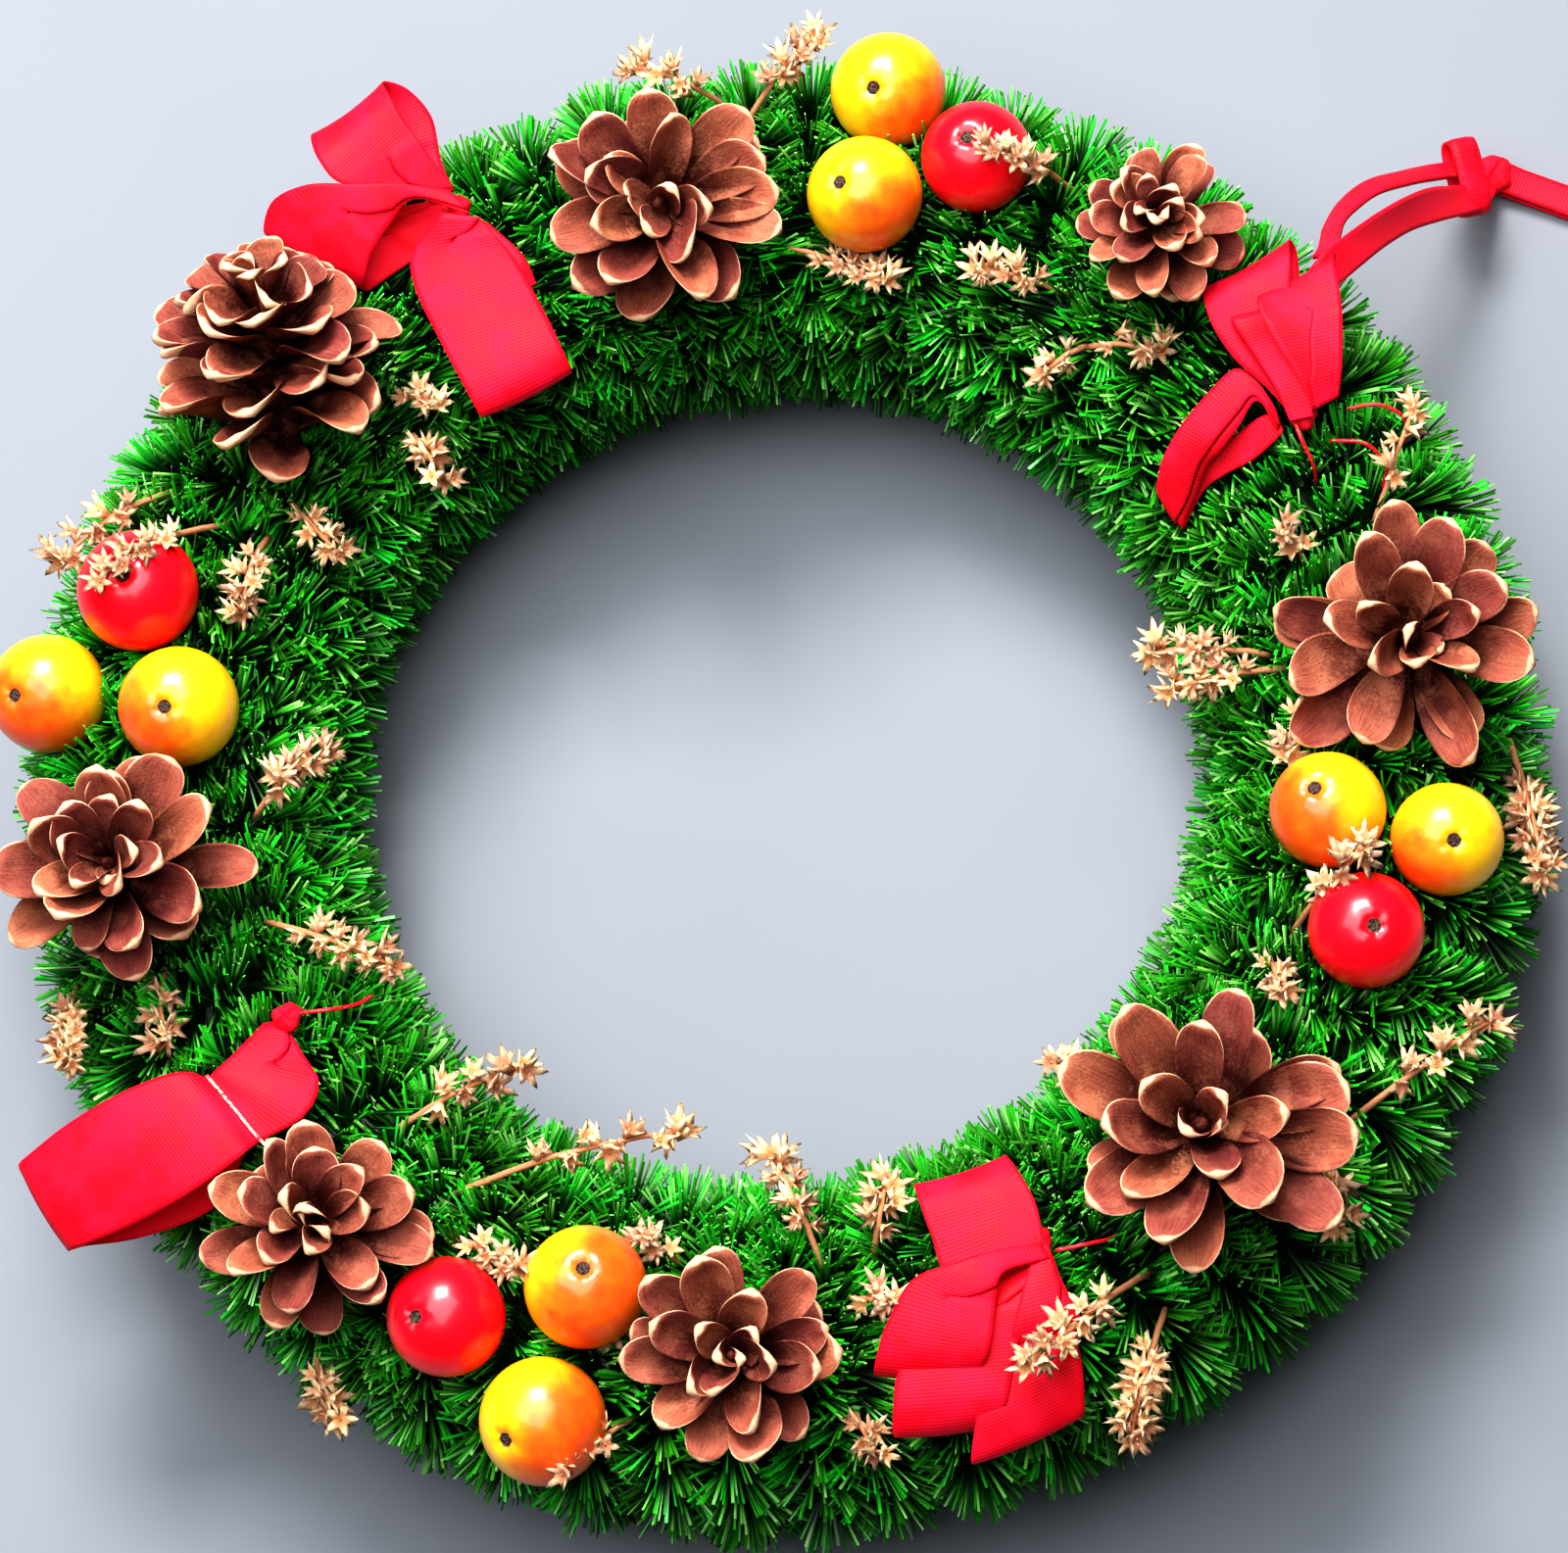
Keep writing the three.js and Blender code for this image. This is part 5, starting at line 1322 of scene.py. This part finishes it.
class AddStage(bpy.types.Operator):
    """Set up the camera, the plain floor and the soft daylight"""
    bl_idname = "wreath.add_stage"
    bl_label = "Stage"

    def execute(self, context):
        scene = context.scene
        colours = scene.wreath_colours
        self.add_camera(scene)
        floor = bpy.data.meshes.new("floor")
        corners = [(x, y, 0) for x, y in FLOOR_CORNERS]
        floor.from_pydata(corners, [], [(0, 1, 2, 3)])
        floor.materials.append(finish("studio_floor", colours.floor, studio_floor, colours))
        ground = bpy.data.objects.new("floor", floor)
        scene.collection.objects.link(ground)
        for name, light in LIGHTS.items():
            self.add_light(scene, name, *light)
        world = bpy.data.worlds.new("room")
        world.use_nodes = True
        background = world.node_tree.nodes["Background"].inputs
        background["Color"].default_value = (*ROOM_COLOUR, 1)
        background["Strength"].default_value = ROOM_STRENGTH
        scene.world = world
        scene.view_settings.view_transform = "Standard"
        scene.view_settings.look = "High Contrast"
        return {"FINISHED"}

    def add_camera(self, scene):
        """A camera that looks from its place to its target. Its right-hand side is square to that
        line and to the way of the picture's upper edge, and its upper side is square to both."""
        place = Vector(CAMERA_PLACE)
        back = (place - Vector(CAMERA_TARGET)).normalized()
        turn = math.radians(CAMERA_UP_DEG)
        right = Vector((math.cos(turn), math.sin(turn), 0)).cross(back).normalized()
        axes = Matrix((right, back.cross(right), back)).transposed()
        camera = bpy.data.objects.new("camera", bpy.data.cameras.new("camera"))
        camera.matrix_world = Matrix.Translation(place * MM) @ axes.to_4x4()
        camera.data.lens = CAMERA_LENS
        camera.data.shift_x, camera.data.shift_y = CAMERA_SHIFT
        scene.collection.objects.link(camera)
        scene.camera = camera

    def add_light(self, scene, name, aim, distance, size, power, colour):
        """A rectangle of light in a direction (angle in the XY plane, angle of height), facing the
        wreath."""
        turn, height = np.radians(aim)
        way = Vector((math.cos(turn) * math.cos(height), math.sin(turn) * math.cos(height),
                      math.sin(height)))
        light = bpy.data.lights.new(name, "AREA")
        light.shape = "RECTANGLE"
        light.size, light.size_y = size
        light.energy = power
        light.color = colour
        lamp = bpy.data.objects.new(name, light)
        lamp.location = way * distance
        lamp.rotation_mode = "QUATERNION"
        lamp.rotation_quaternion = way.to_track_quat("Z", "Y")
        scene.collection.objects.link(lamp)


class AddHanger(bpy.types.Operator):
    """Add the hanging ribbon with its knot and the band round both strands"""
    bl_idname = "wreath.add_hanger"
    bl_label = "Hanging Ribbon"

    def execute(self, context):
        sizes, colours = context.scene.wreath_sizes, context.scene.wreath_colours
        rng = seeded(context.scene, "hanger")
        cloth = finish("ribbon_weave", colours.ribbon, ribbon_weave, colours)
        shape, middle, length = hanger(sizes)
        loop = piece("hanging_ribbon", shape, cloth, ["hanging_loop"])
        tied = lump(np.array(HANGER_KNOT), *HANGER_KNOT_SIZE, rng)
        knot = piece("hanging_knot", tied, cloth)
        wrap = piece("hanging_wrap", self.wrap(), cloth)
        return {"FINISHED"}

    def wrap(self):
        """A short band wound round both strands: a flat rounded oblong, swept along its width. Its
        rings go out over the outside and back along the inside."""
        around = np.linspace(0, 2 * np.pi, 36, endpoint=False)[:, None]
        long_way = unit(np.array(WRAP_LONG_WAY))
        wide_way = np.array(WRAP_WIDE_WAY)
        wide_way = unit(wide_way - long_way * (wide_way @ long_way))
        thin_way = np.cross(long_way, wide_way)
        x = np.sign(np.cos(around)) * np.abs(np.cos(around)) ** 0.5
        y = np.sign(np.sin(around)) * np.abs(np.sin(around)) ** 0.7
        rings = np.array([WRAP_MIDDLE + wide_way * s + long_way * (WRAP_HALF_LONG + grow) * x
                          + thin_way * (WRAP_HALF_THICK + grow) * y for s, grow in WRAP_SECTION])
        across = MM * np.array([0, 0, 1.6, 4.8, 6.4, 6.4, 4.8, 1.6])[:, None] + 0 * around.T
        uv = np.stack([across, 0.005 * around.T + 0 * across], -1)
        return lofts(rings[None], closed=True, uv=uv.reshape(-1, 2))


class AddBows(bpy.types.Operator):
    """Add the four ribbon bows"""
    bl_idname = "wreath.add_bows"
    bl_label = "Bows"

    def execute(self, context):
        scene = context.scene
        colours = scene.wreath_colours
        cloth = finish("ribbon_weave", colours.ribbon, ribbon_weave, colours)
        for k, name in enumerate(BOW_STRIPS):
            shape, length = bow(name, scene.wreath_sizes, seeded(scene, "bow", k))
            made = piece(f"{name}_ribbon", shape, cloth, [name])
        return {"FINISHED"}


class AddFoliage(bpy.types.Operator):
    """Add the needles of the twelve garland lengths and the wound core under them"""
    bl_idname = "wreath.add_foliage"
    bl_label = "Foliage"

    def execute(self, context):
        scene = context.scene
        colours = scene.wreath_colours
        foil = finish("needle_foil", colours.needle_fresh, needle_foil, colours)
        cover = Cover()
        for sector in range(LENGTHS):
            shape = needles(scene.wreath_sizes, seeded(scene, "needles", sector), sector, cover)
            piece(f"needles_{sector + 1}", shape, foil, [f"garland_{sector + 1}"],
                  smooth=False)
        # the core shell is coloured as painted shade
        core = finish("core_in_shade", colours.needle_root_shade, core_in_shade, colours)
        piece("wound_core", wound_core(), core)
        return {"FINISHED"}


class AddCones(bpy.types.Operator):
    """Add the eight open cones"""
    bl_idname = "wreath.add_cones"
    bl_label = "Cones"

    def execute(self, context):
        scene = context.scene
        colours = scene.wreath_colours
        dry = finish("cone_scale", colours.cone_face, cone_scale, colours)
        for k, place in enumerate(CONES):
            shape = cone(place, seeded(scene, "cone", k))
            piece(f"open_cone_{k + 1}", shape, dry, [f"pine_cone_{k + 1}"])
        return {"FINISHED"}


class AddApples(bpy.types.Operator):
    """Add the yellow and red apples"""
    bl_idname = "wreath.add_apples"
    bl_label = "Apples"

    def execute(self, context):
        scene = context.scene
        colours = scene.wreath_colours
        yellow = finish("apple_yellow_skin", colours.apple_yellow, lacquered_apple, colours,
                        colours.apple_yellow, colours.apple_blush)
        red = finish("apple_red_skin", colours.apple_red, lacquered_apple, colours,
                     colours.apple_red, colours.apple_red)
        for k, (name, place) in enumerate(APPLES.items()):
            is_red = name.endswith("_red")
            shape = apple(place, seeded(scene, "apple", k))
            piece(name.replace("fruit", "apple"), shape, red if is_red else yellow,
                  [name])
        return {"FINISHED"}


class AddSprigs(bpy.types.Operator):
    """Add the dried flower sprigs"""
    bl_idname = "wreath.add_sprigs"
    bl_label = "Dried Flowers"

    def execute(self, context):
        scene = context.scene
        colours = scene.wreath_colours
        dry = finish("dried_flower", colours.floret_tip, dried_flower, colours)
        for k, place in enumerate(SPRIGS):
            shape = sprig(*place, seeded(scene, "sprig", k))
            nodes = [f"dried_sprig_{k + 1}"] if k < SOLID_SPRIGS else []
            piece(f"flower_sprig_{k + 1}", shape, dry, nodes)
        return {"FINISHED"}


class AddTies(bpy.types.Operator):
    """Add the thin red tie wires at the bows and the finish of the hidden straw ring"""
    bl_idname = "wreath.add_ties"
    bl_label = "Tie Wires and Straw Ring"

    def execute(self, context):
        colours = context.scene.wreath_colours
        wire = finish("tie_wire", colours.ribbon, tie_wire, colours)
        thread = finish("pale_thread", colours.ribbon_sheen_and_thread, pale_thread, colours)
        straw = finish("pressed_straw", colours.straw, pressed_straw, colours)
        for k, points in enumerate(TIE_WIRES):
            line, _ = smooth_line(points, 24)
            piece(f"tie_wire_{k + 1}", tube(line, WIRE_RADIUS, 8), wire)
        line, _ = smooth_line(CREASE_THREAD, 30)
        piece("crease_thread", tube(line, THREAD_RADIUS, 8), thread)
        ring = bpy.data.objects["straw_ring"]
        for slot in ring.material_slots:
            slot.material = straw
        return {"FINISHED"}


class WreathPanel(bpy.types.Panel):
    """Lists the wreath's settings and the operators that build it"""
    bl_idname = "VIEW3D_PT_wreath"
    bl_label = "Christmas Wreath"
    bl_space_type = "VIEW_3D"
    bl_region_type = "UI"
    bl_category = "Wreath"

    def draw(self, context):
        for settings in (context.scene.wreath_sizes, context.scene.wreath_colours):
            box = self.layout.box()
            for name in settings.__annotations__:
                box.prop(settings, name)
        for operator in OPERATORS:
            self.layout.operator(operator.bl_idname)


OPERATORS = (AddStage, AddHanger, AddBows, AddFoliage, AddCones, AddApples, AddSprigs, AddTies)
CLASSES = (WreathSizes, WreathColours, *OPERATORS, WreathPanel)


def register():
    """Registers the classes and puts the settings on the scene."""
    for made in CLASSES:
        bpy.utils.register_class(made)
    bpy.types.Scene.wreath_sizes = bpy.props.PointerProperty(type=WreathSizes)
    bpy.types.Scene.wreath_colours = bpy.props.PointerProperty(type=WreathColours)


def unregister():
    """Takes the settings off the scene and unregisters the classes."""
    del bpy.types.Scene.wreath_colours
    del bpy.types.Scene.wreath_sizes
    for made in reversed(CLASSES):
        bpy.utils.unregister_class(made)


def main():
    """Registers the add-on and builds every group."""
    register()
    bpy.ops.wreath.add_stage()
    bpy.ops.wreath.add_hanger()
    bpy.ops.wreath.add_bows()
    bpy.ops.wreath.add_foliage()
    bpy.ops.wreath.add_cones()
    bpy.ops.wreath.add_apples()
    bpy.ops.wreath.add_sprigs()
    bpy.ops.wreath.add_ties()


if __name__ == "__main__":
    main()
